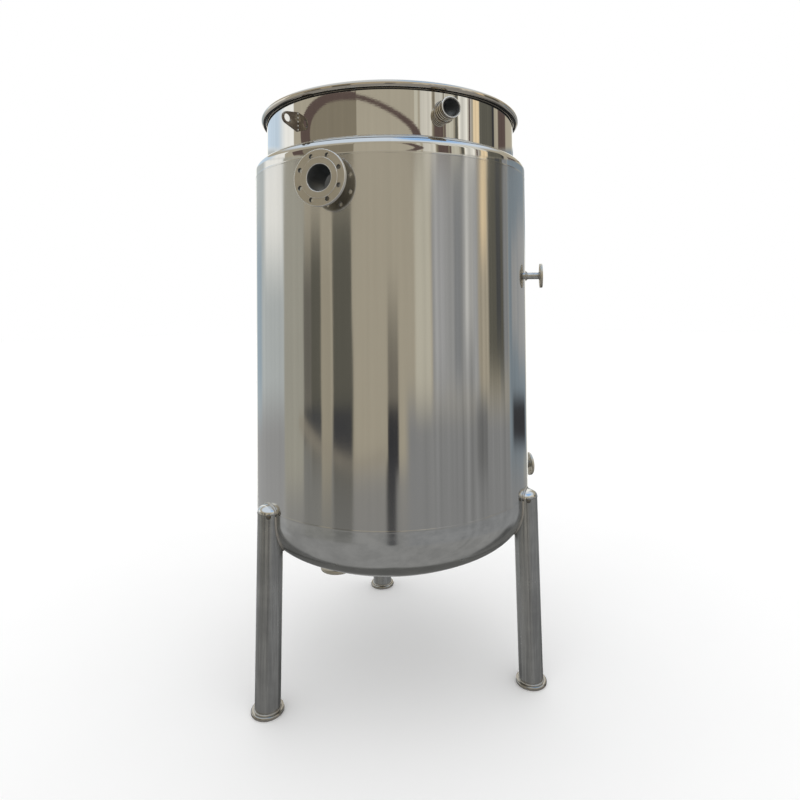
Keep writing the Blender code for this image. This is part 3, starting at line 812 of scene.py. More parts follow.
def make_piece(name, shape, steel, nodes=(), others=()):
    """A piece of the tank at rest, riding on the tank's one body.

    others are its other finishes, each with a test on the faces' middles that says which faces get it.
    """
    points, faces = welded(*shape)
    mesh = bpy.data.meshes.new(name)
    mesh.from_pydata(points, [], faces)
    mesh.materials.append(steel)
    if others:
        middles = np.empty(3 * len(mesh.polygons))
        mesh.polygons.foreach_get("center", middles)
        number = np.zeros(len(mesh.polygons), np.int32)
        for test, other in others:
            number[test(middles.reshape(-1, 3))] = len(mesh.materials)
            mesh.materials.append(other)
        mesh.polygons.foreach_set("material_index", number)
    mesh.shade_smooth()
    mesh.set_sharp_from_angle(angle=math.radians(CREASE))
    mesh.update()
    piece = bpy.data.objects.new(name, mesh)
    bpy.context.scene.collection.objects.link(piece)
    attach(piece, "root")
    if nodes:
        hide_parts(*nodes)


def seam_ring(radius, height, width, rise=0.0007):
    """A ground seam weld round the tank: a low arch of width and rise, closed inside the sheet."""
    arch = arc((radius, height), (rise, width / 2), -90, 90, 6)
    arch[[0, -1], 0] = radius - rise
    profile = np.concatenate([arch, [[radius - 2 * rise, height]]])
    return turned(standing_place(AXIS), profile, TANK_COLUMNS)


def dish_arcs(reach, wall):
    """Knuckle and crown radii of a dished bottom's side, wall inside its outer face, and where their centres lie.

    The knuckle's centre stands beside the axis and the crown's centre above the tangent line. Both arcs meet on
    the line through the two centres, at a slope whose sine is the first distance over the difference of the radii.
    """
    body = bpy.context.scene.tank_body
    knuckle, crown = reach * body.dish_knuckle, reach * body.dish_crown
    beside = reach - knuckle
    above = math.sqrt((crown - knuckle) ** 2 - beside**2)
    return knuckle - wall, crown - wall, beside, above, beside / (crown - knuckle)


def bowl_height(radius, tangent, reach, wall=0.0):
    """tangent - root(knuckle^2 - (r - beside)^2) on the knuckle, tangent + above - root(crown^2 - r^2) inside it."""
    knuckle, crown, beside, above, slope = dish_arcs(reach, wall)
    on_knuckle = tangent - np.sqrt(np.clip(knuckle**2 - (radius - beside) ** 2, 0.0, None))
    on_crown = tangent + above - np.sqrt(np.clip(crown**2 - radius**2, 0.0, None))
    return np.where(radius > beside + knuckle * slope, on_knuckle, on_crown)


def bowl_rows(tangent, reach, wall, top):
    """Radii and heights from the lowest point to the seam.

    The radius is crown sin t up to the meeting of the arcs, then beside + knuckle sin t.
    """
    knuckle, crown, beside, above, slope = dish_arcs(reach, wall)
    meeting = math.asin(slope)
    low = np.linspace(0.0, meeting, 23)
    high = np.linspace(meeting, math.pi / 2, 23)[1:]
    radius = np.concatenate([crown * np.sin(low), beside + knuckle * np.sin(high), [reach - wall]])
    height = np.concatenate([tangent + above - crown * np.cos(low), tangent - knuckle * np.cos(high), [top]])
    return radius, height


def bowl_normal(points, tangent, reach):
    """Away from the knuckle's circle of centres, or from the crown's centre inside the meeting."""
    knuckle, _, beside, above, slope = dish_arcs(reach, 0.0)
    away = from_axis(points)
    radius = np.linalg.norm(away, axis=-1, keepdims=True)
    down = np.minimum(points[..., 2:] - tangent, 0.0) * UP
    from_ring = away * (1 - beside / radius) + down
    return unit(np.where(radius > beside + knuckle * slope, from_ring, away + down - above * UP))


def dish(tangent, reach, wall, top, hole):
    """A dished bottom with its straight edge and the outlet's hole."""
    outer_grid = tank_grid(*bowl_rows(tangent, reach, 0.0, top))
    inner_grid = tank_grid(*bowl_rows(tangent, reach, wall, top))
    sheet = Sheet(outer_grid, [hole])

    def lift_to(inset):
        def lift(hole, x, y):
            away = axis_distance(hole.place.world(np.stack([x, y, 0 * x], -1)))
            return hole.place.origin[2] - bowl_height(away, tangent, reach, inset)

        return lift

    return plate(sheet.side(outer_grid, lift_to(0.0)), sheet.side(inner_grid, lift_to(wall)), sheet.faces)


def cylinder_shell(radius, wall, heights, holes):
    """A straight round wall with holes. A hole's edge lies at z = root of r^2 - x^2 on both sides of the sheet."""
    outer_grid, inner_grid = tank_grid(radius, heights), tank_grid(radius - wall, heights)
    sheet = Sheet(outer_grid, holes)
    outside = sheet.side(outer_grid, lambda hole, x, y: np.sqrt(radius**2 - x**2))
    inside = sheet.side(inner_grid, lambda hole, x, y: np.sqrt((radius - wall) ** 2 - x**2))
    return plate(outside, inside, sheet.faces)


def union_place():
    nozzle = bpy.context.scene.tank_nozzles
    return side_place(math.degrees(nozzle.union_azimuth), nozzle.union_height)


def outlet_place():
    body, nozzle = bpy.context.scene.tank_body, bpy.context.scene.tank_nozzles
    return under_place(nozzle.outlet_x, nozzle.outlet_y, body.vessel_low)


def outlet_hole():
    nozzle = bpy.context.scene.tank_nozzles
    return Hole(outlet_place(), nozzle.outlet_pipe + TOUCH, 1.6)


class TANK_OT_vessel(Operator):
    """Inner vessel: mirror neck outside, unpolished inside, dished bottom"""

    bl_idname = "tank.vessel"
    bl_label = "Inner vessel"

    def execute(self, context):
        body, nozzle = context.scene.tank_body, context.scene.tank_nozzles
        main, union = side_place(0.0, nozzle.main_height), union_place()
        holes = [Hole(main, nozzle.main_pipe + TOUCH), Hole(union, UNION_PIPE + TOUCH)]
        spots = [(nozzle.main_height, 0.10, 15), (nozzle.union_height, 0.07, 13)]
        heights = levels(body.vessel_low, body.rim_height, 32, spots)
        wall = cylinder_shell(body.vessel_radius, body.vessel_wall, heights, holes)
        within = nearer_than(standing_place(AXIS), body.vessel_radius - body.vessel_wall / 2)
        mirror, inside = mirror_steel("mirror steel", 0.0004), inside_steel("vessel inside")
        make_piece("vessel_wall", wall, mirror, ["inner_vessel_wall"], [(within, inside)])
        tangent = body.vessel_low - body.dish_edge
        bowl = dish(tangent, body.vessel_radius, body.vessel_wall, body.vessel_low, outlet_hole())
        make_piece("vessel_bottom", bowl, inside, ["inner_vessel_bottom"])
        seam = seam_ring(body.vessel_radius - body.vessel_wall, body.vessel_low, body.seam_weld)
        make_piece("vessel_seam", seam, weld_steel("weld steel"))
        return {"FINISHED"}


class TANK_OT_rim(Operator):
    """Sheet rolled outwards round the mouth into an open curl"""

    bl_idname = "tank.rim"
    bl_label = "Rolled rim"

    def execute(self, context):
        body = context.scene.tank_body
        roll, wall, tip_angle = body.rim_roll, body.vessel_wall, -125
        centre = (body.vessel_radius - wall + roll, body.rim_height)
        inside, middle, away = roll - wall, roll - wall / 2, math.radians(tip_angle)
        tip = (centre[0] + middle * math.cos(away), centre[1] + middle * math.sin(away))
        outer = arc(centre, (roll, roll), tip_angle, 180, 40)
        inner = arc(centre, (inside, inside), 180, tip_angle, 30)
        nose = arc(tip, (wall / 2, wall / 2), tip_angle + 180, tip_angle, 6)[1:-1]
        rim = turned(standing_place(AXIS), np.concatenate([outer, inner, nose]), TANK_COLUMNS)

        # Painted shade: the underside of the curl gets the inside steel dimmed to 0.14, for the dark gap under the roll
        def under(points):
            return points[:, 2] < body.rim_height - 0.90 * roll

        # Painted reflection: the rim's mirror steel is tinted warm and a little dimmer in place of the cool sky that
        # its top reflects
        steel = mirror_steel("rim steel", 0.0004, (0.94, 0.87, 0.78))
        others = [(under, inside_steel("rim underside painted shade", 0.14))]
        make_piece("rolled_rim_sheet", rim, steel, ["rolled_rim"], others)
        return {"FINISHED"}


class TANK_OT_jacket(Operator):
    """Jacket: satin wall, mirror shoulder, dull dished bottom, and their welds"""

    bl_idname = "tank.jacket"
    bl_label = "Heating jacket"

    def execute(self, context):
        body, nozzle = context.scene.tank_body, context.scene.tank_nozzles
        holes = [Hole(side_place(0.0, nozzle.main_height), nozzle.main_pipe + TOUCH)]
        holes += [Hole(side_place(azimuth, z), nozzle.side_pipe + TOUCH, 1.5) for _, azimuth, z in SIDE_NOZZLES]
        spots = [(nozzle.main_height, 0.10, 17)] + [(z, 0.030, 9) for _, _, z in SIDE_NOZZLES]
        heights = levels(body.bottom_seam, body.top_seam, 40, spots)
        radius, sheet, rise, upright = body.jacket_radius, body.jacket_wall, body.shoulder_rise, standing_place(AXIS)
        wall, satin = cylinder_shell(radius, sheet, heights, holes), satin_steel("satin steel")
        make_piece("jacket_sheet", wall, satin, ["jacket_wall"])
        reach, foot = radius - body.vessel_radius - TOUCH, body.top_seam + TOUCH
        centre = (body.vessel_radius + TOUCH, body.shoulder_bend)
        outer = arc(centre, (reach, rise), 0, 90, 24)
        inner = arc(centre, (reach - sheet, rise - sheet), 90, 0, 20)
        shoulder = turned(upright, [[radius - sheet, foot], [radius, foot], *outer, *inner], TANK_COLUMNS)
        make_piece("shoulder", shoulder, mirror_steel("shoulder mirror", 0.0003), ["jacket_shoulder"])
        bowl = dish(body.bottom_seam - body.dish_edge, radius, sheet, body.bottom_seam - TOUCH, outlet_hole())
        dull = dull_steel("dish steel", (1.0, 1.0, 2.0), shade=1.22, contrast=0.09, haziness=0.6, fineness=24.0)
        make_piece("jacket_dish", bowl, dull, ["jacket_bottom"])
        top = seam_ring(radius, body.top_seam, body.seam_weld)
        bottom = seam_ring(radius, body.bottom_seam, body.seam_weld, 0.00015)
        make_piece("jacket_seams", joined(top, bottom), satin)
        neck = ring_weld(upright, body.vessel_radius, body.shoulder_bend + rise, UP, (body.neck_weld, 720, 700))
        make_piece("neck_weld", neck, weld_steel("weld steel"))
        return {"FINISHED"}


# --- Legs ---


def leg_place(azimuth, legs, seam):
    """Out runs up the leaning leg from its centre at floor level."""
    foot = AXIS + outward(azimuth) * legs.floor_circle
    head = AXIS + outward(azimuth) * legs.seam_circle + seam * UP
    up = unit(head - foot)
    across = unit(np.cross(up, outward(azimuth)))
    return Place(foot, np.cross(across, up), across, up)


def halved(low, high, beyond):
    """Where beyond becomes true between low and high, found by halving 40 times."""
    for _ in range(40):
        middle = (low + high) / 2
        past = beyond(middle)
        low, high = np.where(past, low, middle), np.where(past, middle, high)
    return high


def cope(place, angle, radius, body, top):
    """How far up each straight line of a leg's tube runs before it meets the jacket.

    Lines that miss the jacket run to the top.
    """
    circle, reach = polar(radius, angle), body.jacket_radius
    tangent = body.bottom_seam - body.dish_edge

    def inside(height):
        spot = place.world(circle + height[:, None] * UP)
        away = axis_distance(spot)
        return (away < reach) & (spot[:, 2] > bowl_height(away, tangent, reach))

    return halved(np.zeros(len(angle)), np.full(len(angle), top), inside)


def under_sheet(points, body):
    """Points inside the jacket moved straight outwards to a millimetre under its face."""
    away = from_axis(points)
    distance = np.linalg.norm(away, axis=-1, keepdims=True)
    hidden = body.jacket_radius - body.jacket_wall / 3
    return points + away / distance * np.clip(hidden - distance, 0.0, None)


def leg_tube(place, legs, body):
    """A tube whose outer and inner walls run from the foot up to the cope, joined top and bottom."""
    angle = angles(PIPE_COLUMNS)
    rise = np.linspace(0.0, 1.0, 28)
    walls = []
    for radius, share_up in ((legs.tube_radius, rise), (legs.tube_radius - legs.tube_wall, rise[::-1])):
        lean = radius * (np.cos(angle) * place.axes[0, 2] + np.sin(angle) * place.axes[1, 2])
        low = (legs.foot_height - TOUCH - lean) / place.axes[2, 2]
        high = cope(place, angle, radius, body, legs.tube_top)
        height = low[:, None] + (high - low)[:, None] * share_up
        walls.append(polar(radius, angle[:, None], height))
    return placed(place, np.concatenate(walls, 1))


def leg_cap(place, legs, body):
    """A domed cap, closed below, whose far half hides inside the jacket's sheet."""
    low, outside, inside = legs.tube_top, legs.tube_radius, legs.tube_radius - legs.tube_wall
    floor = low + CAP_FLOOR
    dome = arc((0.0, low + legs.cap_edge), (outside, legs.cap_rise), 0, 90, 20)
    dome[-1, 0] = 0.0
    profile = [[0.0, floor], [inside, floor], [inside, low], [outside, low], *dome]
    points, faces = turned(place, profile, PIPE_COLUMNS, closed=False)
    return under_sheet(points, body), faces


def leg_weld(place, legs, body):
    """A bead round the leg's head: along the cope under the dish, then over the cap where it meets the wall.

    Over the cap the bead is at height h = rise sin b, where the dome's radius is r cos b, and the angle at which
    that circle meets the jacket's radius is halved down to.
    """
    radius, top = legs.tube_radius, legs.tube_top
    spread = np.linspace(-np.pi, np.pi, 721)
    centre = np.pi if place.axes[0] @ from_axis(place.origin) > 0 else 0.0
    met = spread[cope(place, spread + centre, radius, body, top) < top - 1e-6]
    angle = np.linspace(met.min(), met.max(), 120) + centre
    under = place.world(polar(radius, angle, cope(place, angle, radius, body, top)))
    dish_normal = bowl_normal(under, body.bottom_seam - body.dish_edge, body.jacket_radius)
    climb = np.radians(np.concatenate([np.linspace(0, 87, 30), np.linspace(87, 0, 30)]))
    ring, rise = radius * np.cos(climb), legs.cap_rise * np.sin(climb)
    height = top + legs.cap_edge + rise

    def clear(turn):
        return axis_distance(place.world(polar(ring, centre + turn, height))) > body.jacket_radius

    flat = polar(ring, centre + halved(np.zeros(60), np.full(60, np.pi), clear), height)
    flat[:, 1] = np.abs(flat[:, 1]) * np.repeat([1.0, -1.0], 30)
    over = place.world(flat)
    dome_normal = unit(flat * [1, 1, 0] / radius**2 + rise[:, None] * UP / legs.cap_rise**2)
    pipe_normal = np.concatenate([polar(1.0, angle), dome_normal]) @ place.axes
    tank_normal = np.concatenate([dish_normal, unit(from_axis(over))])
    return fillet(np.concatenate([under, over]), pipe_normal, tank_normal, legs.weld, waves=150)


def round_foot(place, legs):
    """A round foot: flat below, rounded edge, flat top."""
    edge = legs.foot_edge
    middle = legs.foot_radius - edge
    low = arc((middle, edge), (edge, edge), -90, 0, 10)
    high = arc((middle, legs.foot_height - edge), (edge, edge), 0, 90, 10)
    profile = np.concatenate([[[0.0, 0.0]], low, high, [[0.0, legs.foot_height]]])
    return turned(place, profile, PIPE_COLUMNS, closed=False)


class TANK_OT_legs(Operator):
    """Three leaning tube legs, coped to the bottom, with domed caps, round feet and welds"""

    bl_idname = "tank.legs"
    bl_label = "Legs"

    def execute(self, context):
        body, legs = context.scene.tank_body, context.scene.tank_legs
        tube_steel = dull_steel("leg steel", (1.0, 1.0, 0.04), 0.4, shade=0.80)
        grey_weld, brown_weld = weld_steel("leg weld steel", 0.2, 1.1), weld_steel("cap weld steel", 1.6, 0.38)
        dark_polish = mirror_steel("foot polish", 0.0002, (0.62, 0.59, 0.55))
        for side, azimuth in LEGS:
            place = leg_place(azimuth, legs, body.bottom_seam)
            make_piece(side + "_leg_tube", leg_tube(place, legs, body), tube_steel, ["leg_tube_" + side])
            make_piece(side + "_leg_cap", leg_cap(place, legs, body), cap_polish(), ["leg_cap_" + side])
            foot = round_foot(standing_place(place.origin), legs)
            make_piece(side + "_leg_foot", foot, dark_polish, ["leg_foot_" + side])
            size, points, waves = FOOT_TOP
            path, radial = ring_path(place, legs.tube_radius, legs.foot_height, points)
            path[:, 2] = legs.foot_height
            welds = joined(fillet(path, radial, UP, size, waves), leg_weld(place, legs, body))
            make_piece(side + "_leg_welds", welds, grey_weld)
            seam = ring_weld(place, legs.tube_radius + 0.0002, legs.tube_top, place.axes[2], CAP_SEAM)
            facing = unit(place.local(place.origin + outward(LUMP_AZIMUTH)) * [1.0, 1.0, 0.0])
            spot = place.world(facing * legs.tube_radius + [0.0, 0.0, legs.tube_top - LUMP_DROP])
            seam = joined(seam, tack(spot, facing @ place.axes, LUMP_RADIUS))
            make_piece(side + "_cap_weld", seam, brown_weld)
        return {"FINISHED"}


# --- Nozzles ---


def pipe_ring(place, outer, start, end, columns=PIPE_COLUMNS):
    """A straight pipe with softened ends."""
    inner = outer - PIPE_WALL
    profile = [(inner, start), (outer, start), (outer, end), (inner, end)]
    return turned(place, softened(profile, PIPE_WALL / 4), columns)


def bored(place, outer):
    """Painted shade on a pipe's bore: its dark finish."""
    return [(nearer_than(place, outer - PIPE_WALL / 2), bore_shade_steel("bore painted shade"))]


def bolt_middles(kind):
    """Middles of a flange's bolt holes in its own plane."""
    turns = 2 * np.pi * (np.arange(kind["count"]) + 0.5) / kind["count"]
    return polar(kind["circle"], turns)[:, :2]


def flange(place, outer, bore, face, kind):
    """A round flange: a hub with fine turned grooves on its raised face, a web with bolt holes, and a softened rim.

    The grooves are face - depth times |sin| of the radius. The web's bolt-hole edges are sunk to make chamfers.
    """
    raised, step, back = kind["raised"], face - FACE_STEP, face - kind["thickness"]
    edge, corner, chamfer, groove_depth, groove_width = 0.0025, 0.001, 0.0008, 0.0001, 0.0016
    radius = np.linspace(raised - corner, bore + corner, 61)
    grooves = np.stack([radius, face - groove_depth * np.abs(np.sin(np.pi * (radius - bore) / groove_width))], -1)
    hub_profile = [[bore, back + corner], [bore + corner, back], [raised, back], [raised, face - corner]]
    hub = turned(place, [*hub_profile, *grooves, [bore, face - corner]], FLANGE_COLUMNS)
    rim = outer - edge
    flat = polar(np.linspace(raised, rim, 9), angles(FLANGE_COLUMNS)[:, None])
    front, rear = place.world(flat + [0.0, 0.0, step]), place.world(flat + [0.0, 0.0, back])
    sheet = Sheet(front, [Hole(place.beside(x, y), kind["hole"], 1.25) for x, y in bolt_middles(kind)])
    top = sheet.side(front, lambda hole, x, y: np.full_like(x, step), chamfer)
    bottom = sheet.side(rear, lambda hole, x, y: np.full_like(x, back), -chamfer)
    web = plate(top, bottom, sheet.faces)
    if np.cross(front[1, 0] - front[0, 0], front[0, 1] - front[0, 0]) @ place.axes[2] < 0:
        web = web[0], web[1][:, ::-1]
    low_bend = arc((rim, back + edge / 2), (edge, edge / 2), -90, 0, 4)
    high_bend = arc((rim, step - edge / 2), (edge, edge / 2), 0, 90, 4)
    return joined(hub, web, turned(place, [[rim, back], *low_bend, *high_bend, [rim, step]], FLANGE_COLUMNS))


def flange_finishes(place, outer, bore, kind):
    """Near-white faced outer edge, step and mouth as painted highlights, and painted shade in the bolt holes, by the
    faces' distance from each one's axis.
    """

    # Painted highlight bands on the outer edge, the step and the mouth
    def edges(points):
        radius = np.linalg.norm(place.local(points)[:, :2], axis=1)
        step = np.abs(radius - kind["raised"]) < STEP_BAND
        return (radius > outer - EDGE_BAND) | step | (radius < bore + MOUTH_BAND)

    # Painted shade: the bolt holes' walls get the dark bore steel
    def holes(points):
        away = place.local(points)[:, None, :2] - bolt_middles(kind)
        return (np.linalg.norm(away, axis=-1) < kind["hole"] + 0.0001).any(axis=1)

    return [(edges, faced_highlight_steel("faced painted highlight")), (holes, bore_shade_steel("bore painted shade"))]


def union_thread(place, root, nozzle):
    """A sleeve with a round thread, eased out at both ends.

    Its radius is R - depth (1/2 - 1/2 cos 2 pi (z / pitch - a / 2 pi)).
    """
    end, bore, corner, bevel = nozzle.union_end, UNION_PIPE + TOUCH, 0.0015, 0.001
    angle = angles(PIPE_COLUMNS)[:, None]
    height = np.linspace(root, end - corner, 72)[None, :]
    turns = (height - root) / nozzle.union_pitch - angle / (2 * np.pi)
    shown = np.clip((height - root - 0.004) / 0.004, 0, 1) * np.clip((end - 0.008 - height) / 0.003, 0, 1)
    radius = nozzle.union_radius - nozzle.union_depth * shown * (0.5 - 0.5 * np.cos(2 * np.pi * turns))
    rest = np.array([[nozzle.union_radius - corner, end], [bore + bevel, end], [bore, end - bevel], [bore, root]])
    walls = [polar(radius, angle, height), polar(rest[:, 0], angle, rest[:, 1])]
    return placed(place, np.concatenate(walls, 1))


class TANK_OT_main_nozzle(Operator):
    """Flanged main nozzle through the jacket into the vessel"""

    bl_idname = "tank.main_nozzle"
    bl_label = "Main nozzle"

    def execute(self, context):
        body, nozzle = context.scene.tank_body, context.scene.tank_nozzles
        place = side_place(0.0, nozzle.main_height)
        radius, face, out = nozzle.main_pipe, nozzle.main_face, place.axes[2]
        pipe = pipe_ring(place, radius, body.vessel_radius - body.vessel_wall - MAIN_INSIDE, face - FACE_STEP)
        make_piece("main_pipe", pipe, pipe_steel(), ["main_nozzle_pipe"], bored(place, radius))
        disc = flange(place, nozzle.main_flange, radius + TOUCH, face, MAIN_FLANGE)
        steel = machined_steel("main flange steel", place)
        others = flange_finishes(place, nozzle.main_flange, radius, MAIN_FLANGE)
        make_piece("main_flange", disc, steel, ["main_nozzle_flange"], others)
        beads = joined(
            root_weld(place, radius, body.jacket_radius, MAIN_ROOT),
            ring_weld(place, radius, face - MAIN_FLANGE["thickness"], -out, MAIN_BACK),
        )
        make_piece("main_nozzle_welds", beads, weld_steel("weld steel"))
        # The mouth's bead gets the near-white painted highlight
        bead = ring_weld(place, radius + TOUCH, face - FACE_STEP, out, MAIN_MOUTH, -1.0)
        make_piece("main_mouth_weld", bead, faced_highlight_steel("faced painted highlight"))
        return {"FINISHED"}


class TANK_OT_union(Operator):
    """Round-threaded union on the neck"""

    bl_idname = "tank.union"
    bl_label = "Threaded union"

    def execute(self, context):
        body, nozzle = context.scene.tank_body, context.scene.tank_nozzles
        place, end, root = union_place(), nozzle.union_end, body.vessel_radius + UNION_SEAT
        pipe = pipe_ring(place, UNION_PIPE, body.vessel_radius - body.vessel_wall - UNION_INSIDE, end - FACE_STEP)
        make_piece("union_pipe", pipe, cap_polish(), ["neck_nozzle_pipe"], bored(place, UNION_PIPE))

        # The union's lip gets the near-white painted highlight
        def lip(points):
            return place.local(points)[:, 2] > end - UNION_LIP

        sleeve, steel = union_thread(place, root, nozzle), thread_steel("thread steel", place, root, nozzle.union_pitch)
        others = [(lip, faced_highlight_steel("faced painted highlight"))]
        make_piece("union_thread", sleeve, steel, ["neck_nozzle_union"], others)
        bead = root_weld(place, nozzle.union_radius - 0.001, body.vessel_radius, UNION_ROOT)
        make_piece("union_weld", bead, weld_steel("weld steel"))
        return {"FINISHED"}


class TANK_OT_side_nozzles(Operator):
    """Two small flanged nozzles on the jacket, with collars"""

    bl_idname = "tank.side_nozzles"
    bl_label = "Side nozzles"

    def execute(self, context):
        body, nozzle = context.scene.tank_body, context.scene.tank_nozzles
        radius, face, seat = nozzle.side_pipe, nozzle.side_face, body.jacket_radius + TOUCH
        inner, outer, top = radius + TOUCH, nozzle.collar_radius, seat + nozzle.collar_thickness
        profile = softened([(inner, seat), (outer, seat), (outer, top), (inner, top)], 0.0012)
        start = body.jacket_radius - body.jacket_wall - SIDE_INSIDE
        for level, azimuth, height in SIDE_NOZZLES:
            name, node = level + "_side_", level + "_side_nozzle_"
            place = side_place(azimuth, height)
            out = place.axes[2]
            pipe = pipe_ring(place, radius, start, face - FACE_STEP, SMALL_COLUMNS)
            make_piece(name + "pipe", pipe, pipe_steel(), [node + "pipe"])
            disc = flange(place, nozzle.side_flange, inner, face, SIDE_FLANGE)
            steel = machined_steel(level + " side flange steel", place)
            make_piece(name + "flange", disc, steel, [node + "flange"])
            collar = turned(place, profile, SMALL_COLUMNS)
            make_piece(name + "collar", collar, pipe_steel(), [node + "collar"])
            beads = joined(
                ring_weld(place, radius, face - SIDE_FLANGE["thickness"], -out, SIDE_BACK),
                ring_weld(place, radius, top, out, COLLAR_FACE),
                root_weld(place, outer, body.jacket_radius, COLLAR_ROOT),
            )
            make_piece(name + "welds", beads, weld_steel("weld steel"))
        return {"FINISHED"}


class TANK_OT_outlet(Operator):
    """Flanged outlet under the bottom"""

    bl_idname = "tank.outlet"
    bl_label = "Bottom outlet"

    def execute(self, context):
        body, nozzle = context.scene.tank_body, context.scene.tank_nozzles
        place, top, radius = outlet_place(), body.vessel_low, nozzle.outlet_pipe
        face, away = top - nozzle.outlet_face, math.hypot(nozzle.outlet_x, nozzle.outlet_y)
        wall_top = bowl_height(away, top - body.dish_edge, body.vessel_radius) + body.vessel_wall
        pipe = pipe_ring(place, radius, top - wall_top - radius / 3, face - FACE_STEP)
        make_piece("outlet_tube", pipe, pipe_steel(), ["outlet_pipe"])
        disc = flange(place, nozzle.outlet_flange, radius + TOUCH, face, OUTLET_FLANGE)
        steel = machined_steel("outlet flange steel", place)
        make_piece("outlet_disc", disc, steel, ["outlet_flange"])
        size, points, waves = OUTLET_ROOT
        radial, low = polar(1.0, angles(points)), body.bottom_seam - body.dish_edge
        root = place.world(radial * radius)
        root[:, 2] = bowl_height(axis_distance(root), low, body.jacket_radius)
        dish_normal = bowl_normal(root, low, body.jacket_radius)
        beads = joined(
            fillet(root, radial @ place.axes, dish_normal, size, waves),
            ring_weld(place, radius, face - OUTLET_FLANGE["thickness"], -place.axes[2], OUTLET_BACK),
        )
        make_piece("outlet_welds", beads, weld_steel("weld steel"))
        return {"FINISHED"}


# --- Lifting lugs ---


def lug_outline(lug, root_out):
    """The plate's outline in its own plane, in order round it: root edge, low side, round end, high side.

    The straight sides touch the round end where the angle from the eye is that of the corner plus or minus the
    arc cosine of end radius over distance.
    """
    eye = np.array([root_out + lug.eye_out, lug.eye_up])
    top, low = np.array([root_out, lug.root / 2]), np.array([root_out, -lug.root / 2])

    def touch(corner, sign):
        away = corner - eye
        return math.atan2(away[1], away[0]) + sign * math.acos(lug.end_radius / np.linalg.norm(away))

    start, end = touch(low, 1.0), touch(top, -1.0)
    start -= 2 * math.pi * (start > end)
    round_end = arc(eye, (lug.end_radius, lug.end_radius), math.degrees(start), math.degrees(end), 40)
    t = np.linspace(0.0, 1.0, 14)[:-1, None]
    root = top + (low - top) * t
    under = low + (round_end[0] - low) * t
    over = round_end[-1] + (top - round_end[-1]) * t
    return np.concatenate([root, under, round_end[:-1], over]), eye


class TANK_OT_lugs(Operator):
    """Two lifting lugs tacked to the neck"""

    bl_idname = "tank.lugs"
    bl_label = "Lifting lugs"

    def execute(self, context):
        body, lug = context.scene.tank_body, context.scene.tank_lugs
        outline, eye = lug_outline(lug, body.vessel_radius + TOUCH)
        apart, half, bevel, tack_reach = unit(outline - eye), lug.thickness / 2, 0.0012, 0.034
        hole, hole_edge = eye + apart * lug.eye_radius, eye + apart * (lug.eye_radius + bevel)
        rim = outline - apart * bevel
        front = [(hole_edge, half), (rim, half), (outline, half - bevel)]
        back = [(outline, bevel - half), (rim, -half), (hole_edge, -half)]
        rows = [*front, *back, (hole, bevel - half), (hole, half - bevel)]
        flat = np.stack([np.insert(xy, 2, z, axis=1) for xy, z in rows], 1)
        for side, azimuth in LUGS:
            out = outward(azimuth)
            place = Place(AXIS + lug.height * UP, out, UP, np.cross(out, UP))
            steel = plate_steel("lug plate")
            make_piece("lug_plate_" + side, placed(place, flat), steel, ["lifting_lug_" + side])
            foot = math.sqrt(body.vessel_radius**2 - half**2)
            blobs = [
                tack(place.world(np.array([foot, rise, across * half])), unit(out + across * place.axes[2]), lug.tack)
                for across in (-1.0, 1.0)
                for rise in np.linspace(-tack_reach, tack_reach, 5)
            ]
            make_piece("lug_tacks_" + side, joined(*blobs), cap_polish())
        return {"FINISHED"}


# --- Studio ---

# Tints of the studio's soft flats
WHITE, SKY, PALE_BLUE = (1.10, 1.10, 1.06), (0.68, 0.82, 0.96), (0.58, 0.62, 0.62)
GOLD, CREAM, SAND = (1.00, 0.80, 0.52), (0.66, 0.63, 0.52), (0.51, 0.46, 0.36)
SHADE, BROWN, UMBER = (0.285, 0.25, 0.185), (0.135, 0.098, 0.086), (0.24, 0.22, 0.18)
SLATE, GREY, STEEL_BLUE, BLUE = (0.41, 0.415, 0.415), (0.30, 0.31, 0.32), (0.26, 0.31, 0.35), (0.40, 0.49, 0.56)
DARK, DEEP, BLACK = (0.14, 0.135, 0.11), (0.085, 0.087, 0.088), (0.05, 0.05, 0.055)

# The jacket reflects what lies below this elevation, and the neck what lies above it. Flats end there with this edge
NECK_LINE = 14.6
CRISP_EDGE = 0.4

# Elevations where the lower studio gives way to the wall, and the wall to the ceiling
GROUND_TO_WALL, WALL_TO_SKY = (-18.5, -14.5), (32.0, 48.0)
# Half steps at a bent strip's ends and along its sides
STRIP_END, STRIP_SIDE = 0.3, 0.02
# Inside the bow of the first bent strip the neck lies in shade, fading in and ending at these values
BOW_EDGE, BOW_END = (0.95, 1.0), (-30.3, -29.7)
# Slow unevenness along the azimuth: scale and detail, its middle, where it fades, and its strength there and beyond
SLATS, SLAT_MIDDLE, SLAT_FADE, SLAT_STRENGTH = (0.22, 3.0), 70.0, (38.0, 50.0), (0.75, 0.16)
# Strength of the even light on the floor, and the radii of the floor's rings
SOFT_LIGHT, FLOOR_RADII = 1.1, (0.0, 2.0, 6.0, 30.0)
# Degrees in a radian
DEGREES = 180.0 / math.pi

# The lens: focal length in millimetres on a sensor 36 mm wide, and its shifts as shares of that width
SENSOR, LENS, SHIFT = 36.0, 25.83, (-0.0172, -0.1363)

